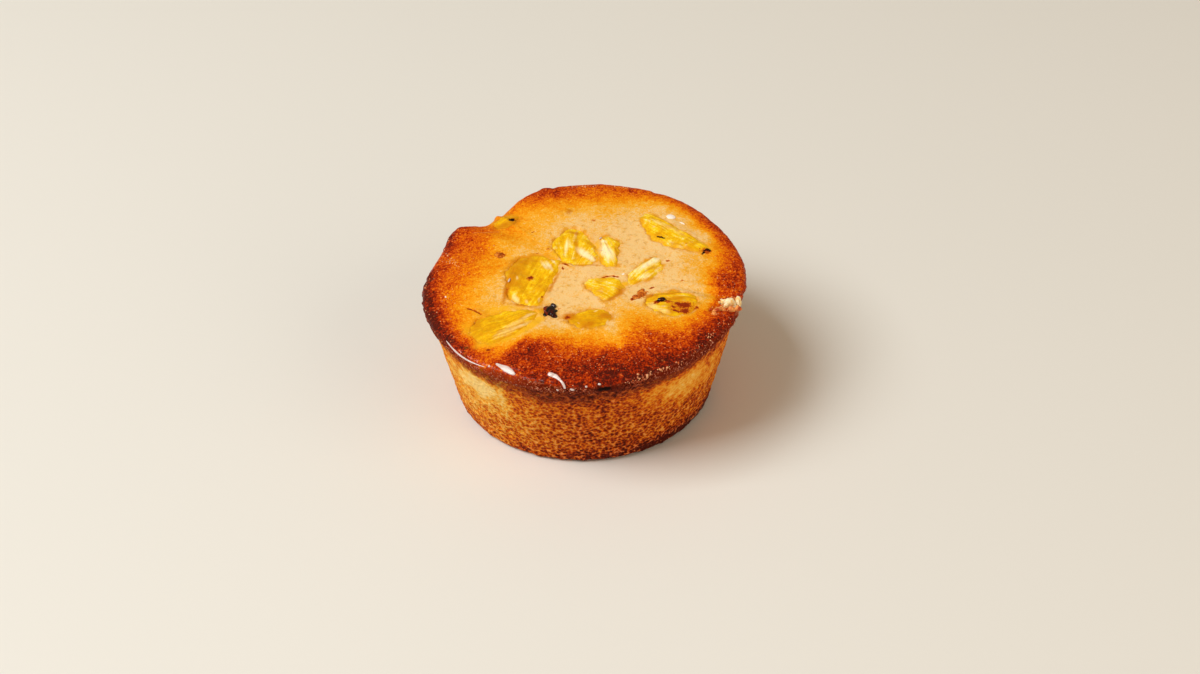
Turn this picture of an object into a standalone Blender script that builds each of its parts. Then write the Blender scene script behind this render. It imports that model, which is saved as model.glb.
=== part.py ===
"""A small round pineapple tart: a tapered cake with a lipped rim, and pineapple wedges baked into its top.

Sizes here are in millimetres, and finish_object() scales each mesh to metres once. X runs to the right,
Y to the back and Z up, and the tart stands on Z = 0. Azimuths are in degrees, from +X towards +Y.
"""

import math
from dataclasses import dataclass

import bmesh
import bpy
from mathutils import Matrix, Vector, noise

METRES = 0.001

# The cake: a cone with a flat base, and a lip round its top.
BASE_RADIUS = 34.5
BASE_ROUNDING = 2.0
RIM_RADIUS = 42.9
CREST_HEIGHT = 34.7
CREST_INSET = 2.6
LEAN_TO_RIGHT = 0.3
LEAN_TO_BACK = 0.5
RISE_TO_RIGHT = 1.2
RISE_TO_BACK = 1.7
TOP_CROWN = 1.2
# The lip's section: (in from the widest place, down from the crest), from the crest to the side.
LIP_SECTION = ((1.2, 0.25), (0.35, 0.95), (0.0, 1.9), (0.25, 2.9), (0.95, 3.7), (1.6, 4.6))
WAVE_LENGTH = 9.0
WAVE_HEIGHT = 0.3
# A dent is deepest in the lip, and its depth falls off down the side as this power of the height.
DENT_FADE = 5

# Fineness of the cake's mesh.
TOP_CELLS = 32
SIDE_RINGS = 6
ROUNDING_RINGS = 3

# The pineapple: how deep a whole wedge sits in the cake, the slit round it and its mesh.
WEDGE_DEPTH = 8.0
SLIT = 0.35
OUTLINE_POINTS = 24
# A wedge's rounded section: (share of its outline, drop below its skin), from the middle outwards.
WEDGE_SECTION = ((0.4, 0.0), (0.75, 0.0), (0.92, 0.35), (1.0, 1.3))
CUTTER_CLEARANCE = 8.0
# How far a lump's surface is moved in and out, as a share of its size, and how fast that changes over it.
LUMP_ROUGHNESS = 0.35
LUMP_WAVES = 2.2

# The tart's bounding box is centred on the origin by this shift of everything.
CENTRE_SHIFT = (-0.4, -0.4)


@dataclass(frozen=True)
class Dent:
    """A place where the rim is drawn in and lowered."""

    azimuth: float
    half_width: float
    inward: float
    drop: float


@dataclass(frozen=True)
class Mound:
    """A low round rise of the cake's top."""

    x: float
    y: float
    radius: float
    height: float


@dataclass(frozen=True)
class Wedge:
    """A piece of pineapple. Its heading is that of its fibres, and its ridge runs along them."""

    corners: tuple
    lift: float
    crown: float
    ridge: float = 0.0
    heading: float = 0.0
    spread: float = 1.0
    depth: float = WEDGE_DEPTH


@dataclass(frozen=True)
class Lump:
    """A burnt drip, flake or crumb that lies on the cake or on a wedge."""

    x: float
    y: float
    length: float
    width: float
    height: float
    heading: float


DENTS = (
    Dent(azimuth=127.5, half_width=13.0, inward=4.3, drop=1.4),
    Dent(azimuth=147.0, half_width=4.0, inward=-0.6, drop=-0.2),
    Dent(azimuth=162.0, half_width=12.0, inward=2.0, drop=0.3),
    Dent(azimuth=28.0, half_width=14.0, inward=0.6, drop=0.0),
    Dent(azimuth=-14.5, half_width=3.0, inward=1.6, drop=1.2),
)
MOUNDS = (
    Mound(x=-11.0, y=-28.0, radius=8.0, height=1.3),
    Mound(x=15.0, y=-25.0, radius=9.0, height=1.0),
    Mound(x=-31.0, y=4.0, radius=9.0, height=0.6),
    Mound(x=24.0, y=30.0, radius=6.0, height=0.6),
)

WEDGES = (
    Wedge(
        corners=(
            (-18, 7), (-13.5, 9), (-7, 7.2), (-6, 3.5), (-8.5, -5), (-11, -11.3),
            (-14.5, -12.3), (-18.5, -10), (-20.2, -3.5), (-20, 3),
        ),
        lift=0.4, crown=1.0, ridge=-0.5, heading=70.0, spread=3.0,
    ),
    Wedge(
        corners=(
            (-8.5, 12), (-6.5, 17), (-3.5, 20.5), (-0.5, 19.5), (2.5, 14), (3.7, 9),
            (3.4, 4.8), (-2.5, 4), (-5, 5.5),
        ),
        lift=0.3, crown=0.9, ridge=-0.8, heading=80.0, spread=3.5,
    ),
    Wedge(
        corners=((4.8, 15), (7, 15.8), (9.8, 13), (9.4, 8), (9, 3.6), (6, 2.8), (4.7, 5), (5.2, 10)),
        lift=0.7, crown=0.7,
    ),
    Wedge(
        corners=((16, 21), (18, 26), (23, 21.5), (29, 15.5), (33.8, 10), (33, 8.3), (25, 9.5), (19.5, 13.8)),
        lift=0.2, crown=0.4, ridge=1.2, heading=-43.0, spread=4.0,
    ),
    Wedge(
        corners=((12.3, -4.5), (13.2, 1), (17, 5), (19.7, 6.3), (21, 2.5), (19.5, -1.5), (15, -4.6)),
        lift=0.3, crown=0.4, ridge=0.8, heading=55.0, spread=3.0,
    ),
    Wedge(
        corners=((0.2, -4), (2, -2), (7, -1.7), (10.6, -4.5), (10.6, -7.5), (6, -11.5), (2, -8)),
        lift=0.2, crown=0.7,
    ),
    Wedge(
        corners=((-4.5, -17.5), (-0.5, -16), (4, -14.6), (7, -16), (7.2, -19.3), (5, -22), (-1.5, -21.4)),
        lift=0.2, crown=0.5,
    ),
    Wedge(
        corners=(
            (-11.2, -15.5), (-13.5, -14), (-21, -14), (-28, -17), (-29, -21.5),
            (-26, -25.8), (-21, -25.4), (-14, -20.2),
        ),
        lift=0.0, crown=0.8, ridge=0.5, heading=20.0, spread=5.0,
    ),
    Wedge(
        corners=((16, -13), (17.5, -9.5), (23, -8.6), (29, -9.5), (30, -14), (27, -17.8), (20, -17.5)),
        lift=0.3, crown=0.6, ridge=-0.5, heading=-8.0, spread=3.0,
    ),
    Wedge(
        corners=((-24, 25.8), (-23, 28.5), (-20.3, 30), (-17.7, 28), (-18.7, 25.2), (-21.5, 24)),
        lift=0.5, crown=0.6, depth=4.5,
    ),
)

# Caramel burnt black beside the wedge at the front left, brown flakes, and crumbs in the cracked rim.
CAKE_LUMPS = (
    Lump(x=-7.9, y=-12.6, length=3.6, width=2.8, height=1.5, heading=70.0),
    Lump(x=-8.6, y=-14.9, length=3.8, width=2.8, height=1.3, heading=100.0),
    Lump(x=-8.2, y=-17.2, length=3.0, width=2.2, height=1.0, heading=20.0),
    Lump(x=-22.2, y=10.0, length=3.2, width=2.4, height=0.6, heading=-20.0),
    Lump(x=13.4, y=-9.6, length=4.2, width=2.2, height=0.7, heading=50.0),
    Lump(x=39.4, y=-10.6, length=4.2, width=2.8, height=1.5, heading=80.0),
    Lump(x=37.0, y=-12.6, length=5.0, width=3.4, height=1.5, heading=25.0),
    Lump(x=34.6, y=-15.2, length=4.4, width=2.6, height=1.0, heading=35.0),
    Lump(x=38.2, y=-15.0, length=4.0, width=3.0, height=1.0, heading=-60.0),
)
BURNT_WEDGE = 8
WEDGE_LUMPS = (
    Lump(x=20.2, y=-12.2, length=4.2, width=2.4, height=1.1, heading=-5.0),
    Lump(x=26.4, y=-13.2, length=4.4, width=2.2, height=0.8, heading=-20.0),
    Lump(x=26.0, y=-15.6, length=3.6, width=1.9, height=0.7, heading=15.0),
    Lump(x=23.0, y=-14.2, length=3.2, width=1.7, height=0.6, heading=-40.0),
)


def azimuth_of(x, y):
    return math.degrees(math.atan2(y, x))


def bell(distance, half_width):
    return math.exp(-((distance / half_width) ** 2))


def dent_shares(azimuth):
    """Each dent with the share of its depth that this azimuth has."""
    for dent in DENTS:
        apart = (azimuth - dent.azimuth + 180.0) % 360.0 - 180.0
        yield dent, bell(apart, dent.half_width)


def drawn_in(azimuth):
    """How far the dents draw the rim in at this azimuth."""
    return sum(dent.inward * share for dent, share in dent_shares(azimuth))


def rim_radius(azimuth):
    """The tart's widest radius at this azimuth."""
    angle = math.radians(azimuth)
    wave = noise.noise(Vector((math.cos(angle), math.sin(angle), 0.0)) * RIM_RADIUS / WAVE_LENGTH)
    lean = LEAN_TO_RIGHT * math.cos(angle) + LEAN_TO_BACK * math.sin(angle)
    return RIM_RADIUS + lean + WAVE_HEIGHT * wave - drawn_in(azimuth)


def crest_height(azimuth):
    angle = math.radians(azimuth)
    tilt = RISE_TO_RIGHT * math.cos(angle) + RISE_TO_BACK * math.sin(angle)
    return CREST_HEIGHT + tilt - sum(dent.drop * share for dent, share in dent_shares(azimuth))


def top_height(x, y):
    """The cake's top: it runs from the rim's crest up to a low crown, with mounds and shallow waves."""
    azimuth = azimuth_of(x, y)
    share = min(math.hypot(x, y) / (rim_radius(azimuth) - CREST_INSET), 1.0)
    middle = CREST_HEIGHT + TOP_CROWN
    tilt = (RISE_TO_RIGHT * x + RISE_TO_BACK * y) / RIM_RADIUS
    height = middle + tilt + (crest_height(azimuth) - middle - tilt) * share**3
    for mound in MOUNDS:
        height += mound.height * bell(math.hypot(x - mound.x, y - mound.y), mound.radius)
    wave = noise.noise(Vector((x, y, RIM_RADIUS)) / WAVE_LENGTH)
    return height + WAVE_HEIGHT * wave * (1.0 - share**6)


def disc_point(across, along):
    """Where a point of the square from -1 to 1 lies once the square is rounded to a disc."""
    return across * math.sqrt(1.0 - along**2 / 2.0), along * math.sqrt(1.0 - across**2 / 2.0)


def lip_point(azimuth, inset, drop):
    angle = math.radians(azimuth)
    radius = rim_radius(azimuth) - inset
    return Vector((radius * math.cos(angle), radius * math.sin(angle), crest_height(azimuth) - drop))


def side_point(azimuth, share):
    """A point of the side, from the rounding of the base, share 0, to the foot of the lip, share 1."""
    angle = math.radians(azimuth)
    inset, drop = LIP_SECTION[-1]
    dent = drawn_in(azimuth)
    widening = rim_radius(azimuth) + dent - inset - BASE_RADIUS
    radius = BASE_RADIUS + widening * share - dent * share**DENT_FADE
    height = BASE_ROUNDING + (crest_height(azimuth) - drop - BASE_ROUNDING) * share
    return Vector((radius * math.cos(angle), radius * math.sin(angle), height))


def rounding_point(azimuth, share):
    """A point of the quarter circle from the side, share 0, to the flat base, share 1."""
    angle = math.radians(azimuth)
    turn = share * math.pi / 2.0
    radius = BASE_RADIUS - BASE_ROUNDING * (1.0 - math.cos(turn))
    height = BASE_ROUNDING * (1.0 - math.sin(turn))
    return Vector((radius * math.cos(angle), radius * math.sin(angle), height))


def extended(bm, edges, place):
    """Extrudes a ring of edges, puts each new corner where place() says, and returns the new ring."""
    grown = bmesh.ops.extrude_edge_only(bm, edges=edges)["geom"]
    corners = {item for item in grown if isinstance(item, bmesh.types.BMVert)}
    for corner in corners:
        corner.co = place(corner)
    return [
        item for item in grown
        if isinstance(item, bmesh.types.BMEdge) and all(corner in corners for corner in item.verts)
    ]


def finished_mesh(bm, name):
    """Closes the shape's open ends, turns its faces outwards and makes it a mesh, still in millimetres."""
    bmesh.ops.holes_fill(bm, edges=bm.edges, sides=0)
    bmesh.ops.recalc_face_normals(bm, faces=bm.faces)
    mesh = bpy.data.meshes.new(name)
    bm.to_mesh(mesh)
    bm.free()
    return mesh


def linked_object(name, mesh):
    item = bpy.data.objects.new(name, mesh)
    bpy.context.scene.collection.objects.link(item)
    return item


def cake():
    """The cake before anything is cut from it: a grid rounded to a disc, and its rim extruded down to the base."""
    bm = bmesh.new()
    bmesh.ops.create_grid(bm, x_segments=TOP_CELLS, y_segments=TOP_CELLS, size=1.0)
    azimuths = bm.verts.layers.float.new("azimuth")
    for corner in bm.verts:
        across, along = disc_point(corner.co.x, corner.co.y)
        azimuth = azimuth_of(across, along)
        radius = rim_radius(azimuth) - CREST_INSET
        corner[azimuths] = azimuth
        corner.co = (across * radius, along * radius, top_height(across * radius, along * radius))
    ring = [edge for edge in bm.edges if edge.is_boundary]
    for inset, drop in LIP_SECTION:
        ring = extended(bm, ring, lambda corner: lip_point(corner[azimuths], inset, drop))
    for step in reversed(range(SIDE_RINGS)):
        ring = extended(bm, ring, lambda corner: side_point(corner[azimuths], step / SIDE_RINGS))
    for step in range(ROUNDING_RINGS):
        share = (step + 1) / ROUNDING_RINGS
        ring = extended(bm, ring, lambda corner: rounding_point(corner[azimuths], share))
    return linked_object("tart_body", finished_mesh(bm, "tart_body"))


def closed_curve(corners, count):
    """Points spread evenly over the stretches of a smooth closed curve through the corners."""
    points = []
    for step in range(count):
        start, share = divmod(step * len(corners) / count, 1.0)
        before, here, after, later = (Vector(corners[(int(start) + k) % len(corners)]) for k in (-1, 0, 1, 2))
        points.append(
            0.5 * (
                2.0 * here
                + (after - before) * share
                + (2.0 * before - 5.0 * here + 4.0 * after - later) * share**2
                + (3.0 * here - before - 3.0 * after + later) * share**3
            )
        )
    return points


def grown_curve(points, distance):
    """The closed curve moved outwards by a distance."""
    area = sum(points[k - 1].cross(points[k]) for k in range(len(points)))
    moved = []
    for k, point in enumerate(points):
        along = (points[(k + 1) % len(points)] - points[k - 1]).normalized()
        outwards = Vector((along.y, -along.x)) * math.copysign(1.0, area)
        moved.append(point + outwards * distance)
    return moved


def middle_of(points):
    return sum(points, Vector((0.0, 0.0))) / len(points)


def skin_height(wedge, middle, point, share):
    """The wedge's skin over a point: the cake's top, its own lift and crown, and its ridge or groove."""
    heading = math.radians(wedge.heading)
    across = (point - middle).dot(Vector((-math.sin(heading), math.cos(heading))))
    return (
        top_height(*point) + wedge.lift + wedge.crown * (1.0 - share**2)
        + wedge.ridge * bell(across, wedge.spread)
    )


def wedge_mesh(wedge, name):
    """A wedge with a rounded skin, straight sides and a flat underside."""
    outline = closed_curve(wedge.corners, OUTLINE_POINTS)
    middle = middle_of(outline)
    bm = bmesh.new()
    bmesh.ops.create_circle(bm, segments=OUTLINE_POINTS, radius=1.0)
    columns = bm.verts.layers.int.new("column")
    bm.verts.ensure_lookup_table()
    for column, corner in enumerate(bm.verts):
        corner[columns] = column

    def skin_point(corner, share, drop):
        point = middle.lerp(outline[corner[columns]], share)
        return Vector((*point, skin_height(wedge, middle, point, share) - drop))

    def floor_point(corner, share, rise):
        point = middle.lerp(outline[corner[columns]], share)
        return Vector((*point, top_height(*middle) - wedge.depth + rise))

    for corner in bm.verts:
        corner.co = skin_point(corner, *WEDGE_SECTION[0])
    ring = bm.edges[:]
    for share, drop in WEDGE_SECTION[1:]:
        ring = extended(bm, ring, lambda corner: skin_point(corner, share, drop))
    for share, rise in ((1.0, 1.0), (0.9, 0.0)):
        ring = extended(bm, ring, lambda corner: floor_point(corner, share, rise))
    caps = bmesh.ops.holes_fill(bm, edges=bm.edges, sides=0)["faces"]
    top_cap = max(caps, key=lambda face: face.calc_center_median().z)
    peak = bmesh.ops.poke(bm, faces=[top_cap])["verts"][0]
    peak.co = (*middle, skin_height(wedge, middle, middle, 0.0))
    return finished_mesh(bm, name)


def pocket_cutter(wedge, name):
    """The room that a wedge takes in the cake: its outline with the slit round it, open upwards."""
    outline = grown_curve(closed_curve(wedge.corners, OUTLINE_POINTS), SLIT)
    middle = middle_of(outline)
    floor = top_height(*middle) - wedge.depth - SLIT
    bm = bmesh.new()
    bmesh.ops.create_circle(bm, segments=OUTLINE_POINTS, radius=1.0)
    bm.verts.ensure_lookup_table()
    for point, corner in zip(outline, bm.verts):
        corner.co = (*point, floor)
    lift = Vector((0.0, 0.0, wedge.depth + CUTTER_CLEARANCE))
    extended(bm, bm.edges[:], lambda corner: corner.co + lift)
    return linked_object(name, finished_mesh(bm, name))


def lump_object(lump, name, bed):
    """A craggy lump, half of it sunk below the height that bed() gives."""
    bm = bmesh.new()
    bmesh.ops.create_icosphere(bm, subdivisions=2, radius=0.5)
    seat = Vector((lump.x, lump.y, 0.0))
    for corner in bm.verts:
        corner.co *= 1.0 + LUMP_ROUGHNESS * noise.noise(corner.co * LUMP_WAVES + seat)
    size = Matrix.Diagonal((lump.length, lump.width, 2.0 * lump.height, 1.0))
    turn = Matrix.Rotation(math.radians(lump.heading), 4, "Z")
    place = Matrix.Translation((lump.x, lump.y, bed(lump.x, lump.y)))
    bmesh.ops.transform(bm, matrix=place @ turn @ size, verts=bm.verts)
    return linked_object(name, finished_mesh(bm, name))


def combined(item, others, operation):
    """Joins or cuts an object with a collection of others, applies that, and removes the others."""
    collection = bpy.data.collections.new(f"{item.name}_{operation.lower()}")
    bpy.context.scene.collection.children.link(collection)
    for other in others:
        bpy.context.scene.collection.objects.unlink(other)
        collection.objects.link(other)
    modifier = item.modifiers.new("combine", "BOOLEAN")
    modifier.operation = operation
    modifier.solver = "EXACT"
    modifier.operand_type = "COLLECTION"
    modifier.collection = collection
    graph = bpy.context.evaluated_depsgraph_get()
    mesh = bpy.data.meshes.new_from_object(item.evaluated_get(graph))
    mesh.name = item.name
    item.modifiers.clear()
    item.data = mesh
    for other in others:
        bpy.data.objects.remove(other)
    bpy.data.collections.remove(collection)


def linear(value):
    """One channel of a screen colour, from 0 to 255, as light."""
    value /= 255.0
    return value / 12.92 if value <= 0.04045 else ((value + 0.055) / 1.055) ** 2.4


def food_material(name, colour, roughness):
    material = bpy.data.materials.new(name)
    material.use_nodes = True
    shader = material.node_tree.nodes["Principled BSDF"]
    shader.inputs["Base Color"].default_value = (*(linear(channel) for channel in colour), 1.0)
    shader.inputs["Roughness"].default_value = roughness
    shader.inputs["Metallic"].default_value = 0.0
    return material


def finish_object(item, material):
    """Puts the mesh on its centre, scales it to metres, and gives it smooth shading and its material."""
    shift = Matrix.Translation((*CENTRE_SHIFT, 0.0))
    item.data.transform(Matrix.Scale(METRES, 4) @ shift)
    item.data.shade_smooth()
    item.data.set_sharp_from_angle(angle=math.radians(40.0))
    item.data.materials.clear()
    item.data.materials.append(material)


def main():
    for item in list(bpy.data.objects):
        bpy.data.objects.remove(item)
    crumb = food_material("baked_crumb", (206, 132, 44), 0.6)
    fruit = food_material("pineapple_flesh", (240, 190, 40), 0.35)

    body = cake()
    wedges = [
        linked_object(f"pineapple_{number}", wedge_mesh(wedge, f"pineapple_{number}"))
        for number, wedge in enumerate(WEDGES, start=1)
    ]
    combined(body, [pocket_cutter(wedge, f"pocket_{k}") for k, wedge in enumerate(WEDGES)], "DIFFERENCE")
    combined(body, [lump_object(lump, f"lump_{k}", top_height) for k, lump in enumerate(CAKE_LUMPS)], "UNION")

    burnt = WEDGES[BURNT_WEDGE]
    middle = middle_of(closed_curve(burnt.corners, OUTLINE_POINTS))
    flakes = [
        lump_object(lump, f"flake_{k}", lambda x, y: skin_height(burnt, middle, Vector((x, y)), 0.5))
        for k, lump in enumerate(WEDGE_LUMPS)
    ]
    combined(wedges[BURNT_WEDGE], flakes, "UNION")

    finish_object(body, crumb)
    for item in wedges:
        finish_object(item, fruit)


main()
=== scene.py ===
"""The looks of a small round pineapple tart: its browned crust, its open crumb and its fruit.

Forms are worked out in millimetres, from the same named sizes as the solids, and finished_object() puts each
mesh in place and scales it to metres once. X runs to the right, Y to the back and Z up. Azimuths are in
degrees, from +X towards +Y.
"""

import logging
import math
import random
from collections.abc import Callable, Iterable, Sequence
from dataclasses import dataclass
from enum import Enum

import bmesh
import bpy
from mathutils import Matrix, Vector, noise
from mathutils.kdtree import KDTree


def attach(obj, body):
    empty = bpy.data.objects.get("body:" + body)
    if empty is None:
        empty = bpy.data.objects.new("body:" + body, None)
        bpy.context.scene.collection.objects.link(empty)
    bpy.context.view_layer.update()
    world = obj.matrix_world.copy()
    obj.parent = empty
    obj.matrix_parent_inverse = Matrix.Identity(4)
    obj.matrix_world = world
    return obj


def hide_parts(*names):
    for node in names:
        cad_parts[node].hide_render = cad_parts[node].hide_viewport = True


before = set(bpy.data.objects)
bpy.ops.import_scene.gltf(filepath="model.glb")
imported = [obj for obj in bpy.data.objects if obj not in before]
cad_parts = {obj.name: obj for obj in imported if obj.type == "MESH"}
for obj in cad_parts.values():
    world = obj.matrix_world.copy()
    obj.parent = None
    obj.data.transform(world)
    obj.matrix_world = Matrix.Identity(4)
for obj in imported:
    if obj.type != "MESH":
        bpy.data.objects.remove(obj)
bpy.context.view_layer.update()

log = logging.getLogger("pineapple_tart")

BODY = "root"
CRUMB_SLOT = "baked_crumb"
FRUIT_SLOT = "pineapple_flesh"
METRES = 0.001
# The solids' box is centred on the origin by this shift, in millimetres, and the pieces here follow it.
CENTRE_SHIFT = (-0.4, -0.4)

Place = Callable[[bmesh.types.BMVert], Vector]


# ---- Small helpers ----


def bell(distance: float, half_width: float) -> float:
    """The height at a distance from the middle of a soft bump one high."""
    return math.exp(-((distance / half_width) ** 2))


def smooth_step(low: float, high: float, value: float) -> float:
    """Runs smoothly from 0 at low to 1 at high, and high may be the smaller one."""
    share = min(max((value - low) / (high - low), 0.0), 1.0)
    return share * share * (3.0 - 2.0 * share)


def mixed(start: float, end: float, share: float) -> float:
    """The value a share of the way from start to end."""
    return start + (end - start) * share


def ripple(point: Vector, wave: float, seed: float = 0.0) -> float:
    """Smooth noise from -1 to 1.

    Args:
        point: Where it is read, in millimetres.
        wave: The size of its waves, in millimetres.
        seed: Moves the pattern, so that two uses of one wave differ.

    Returns:
        The noise at the point.
    """
    return noise.noise(point / wave + Vector((seed, -seed, 2.0 * seed)))


def degrees_apart(first: float, second: float) -> float:
    """The signed angle between two azimuths, from -180 to 180."""
    return (first - second + 180.0) % 360.0 - 180.0


def turned(x: float, y: float, heading: float) -> tuple[float, float]:
    """A point's places along a heading and across it.

    Args:
        x: The point's X, from the middle of the turn.
        y: The point's Y, from the middle of the turn.
        heading: The direction, in degrees from +X.

    Returns:
        How far the point lies along the heading, and how far to the left of it.
    """
    angle = math.radians(heading)
    return x * math.cos(angle) + y * math.sin(angle), y * math.cos(angle) - x * math.sin(angle)


def curve_point(corners: Sequence[Sequence[float]], share: float, closed: bool) -> Vector:
    """A point of the smooth Catmull-Rom curve through some corners.

    Args:
        corners: The corners that the curve passes.
        share: How far along the curve, from 0 to 1.
        closed: Whether the curve returns to its start.

    Returns:
        The point, with as many coordinates as the corners have.
    """
    count = len(corners)
    stretches = count if closed else count - 1
    start, part = divmod(min(max(share, 0.0), 1.0) * stretches, 1.0)

    def corner(index: int) -> Vector:
        """A corner by its number, wrapped round or held at the ends."""
        return Vector(corners[index % count if closed else min(max(index, 0), count - 1)])

    before, here, after, later = (corner(int(start) + k) for k in (-1, 0, 1, 2))
    return 0.5 * (
        2.0 * here
        + (after - before) * part
        + (2.0 * before - 5.0 * here + 4.0 * after - later) * part**2
        + (3.0 * here - before - 3.0 * after + later) * part**3
    )


def in_disc(corner: bmesh.types.BMVert) -> tuple[float, float]:
    """Where a corner of a square grid two wide lies once the square is rounded to a disc."""
    x, y = corner.co.x, corner.co.y
    return x * math.sqrt(1.0 - y**2 / 2.0), y * math.sqrt(1.0 - x**2 / 2.0)


def round_point(azimuth: float, radius: float, height: float) -> Vector:
    """A point by its azimuth, its distance from the middle of the tart and its height."""
    angle = math.radians(azimuth)
    return Vector((radius * math.cos(angle), radius * math.sin(angle), height))


def each(kind: type, *rows: tuple) -> tuple:
    """One of a dataclass's objects from each row of values, in the order of its fields."""
    return tuple(kind(*row) for row in rows)


def extended(bm: bmesh.types.BMesh, edges: Iterable[bmesh.types.BMEdge], place: Place) -> list:
    """Extrudes a ring of edges and puts its new corners in place.

    Args:
        bm: The shape.
        edges: The ring to extrude.
        place: Says where each new corner goes.

    Returns:
        The new ring's edges.
    """
    grown = bmesh.ops.extrude_edge_only(bm, edges=list(edges))["geom"]
    corners = {item for item in grown if isinstance(item, bmesh.types.BMVert)}
    for corner in corners:
        corner.co = place(corner)
    return [
        item for item in grown
        if isinstance(item, bmesh.types.BMEdge) and all(corner in corners for corner in item.verts)
    ]


def finished_object(bm: bmesh.types.BMesh, name: str, material: bpy.types.Material) -> bpy.types.Object:
    """Closes a shape, turns its faces outwards and makes it an object in metres, shaded smooth.

    Args:
        bm: The shape, in millimetres.
        name: The piece's name.
        material: Its finish.

    Returns:
        The object, at the origin with its place in its mesh.
    """
    bmesh.ops.holes_fill(bm, edges=bm.edges, sides=0)
    bmesh.ops.recalc_face_normals(bm, faces=bm.faces)
    place = Matrix.Scale(METRES, 4) @ Matrix.Translation((*CENTRE_SHIFT, 0.0))
    bmesh.ops.transform(bm, matrix=place, verts=bm.verts)
    mesh = bpy.data.meshes.new(name)
    bm.to_mesh(mesh)
    bm.free()
    mesh.shade_smooth()
    mesh.materials.append(material)
    item = bpy.data.objects.new(name, mesh)
    bpy.context.scene.collection.objects.link(item)
    return item


def registered(item: bpy.types.Object, slot: str, *nodes: str) -> bpy.types.Object:
    """Makes a piece ride on the tart and stand for the solids it replaces, which it hides.

    Args:
        item: The piece.
        slot: The record's material slot that its finish belongs to; it is not used.
        nodes: The solids that it replaces.

    Returns:
        The same piece.
    """
    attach(item, BODY)
    if nodes:
        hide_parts(*nodes)
    log.info("%s: %d faces", item.name, len(item.data.polygons))
    return item


# ---- The tart's form ----


@dataclass(frozen=True)
class Dent:
    """A place where the rim is drawn in and lowered."""

    azimuth: float
    half_width: float
    inward: float
    drop: float


@dataclass(frozen=True)
class Mound:
    """A low round rise of the cake's top."""

    x: float
    y: float
    radius: float
    height: float


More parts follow.
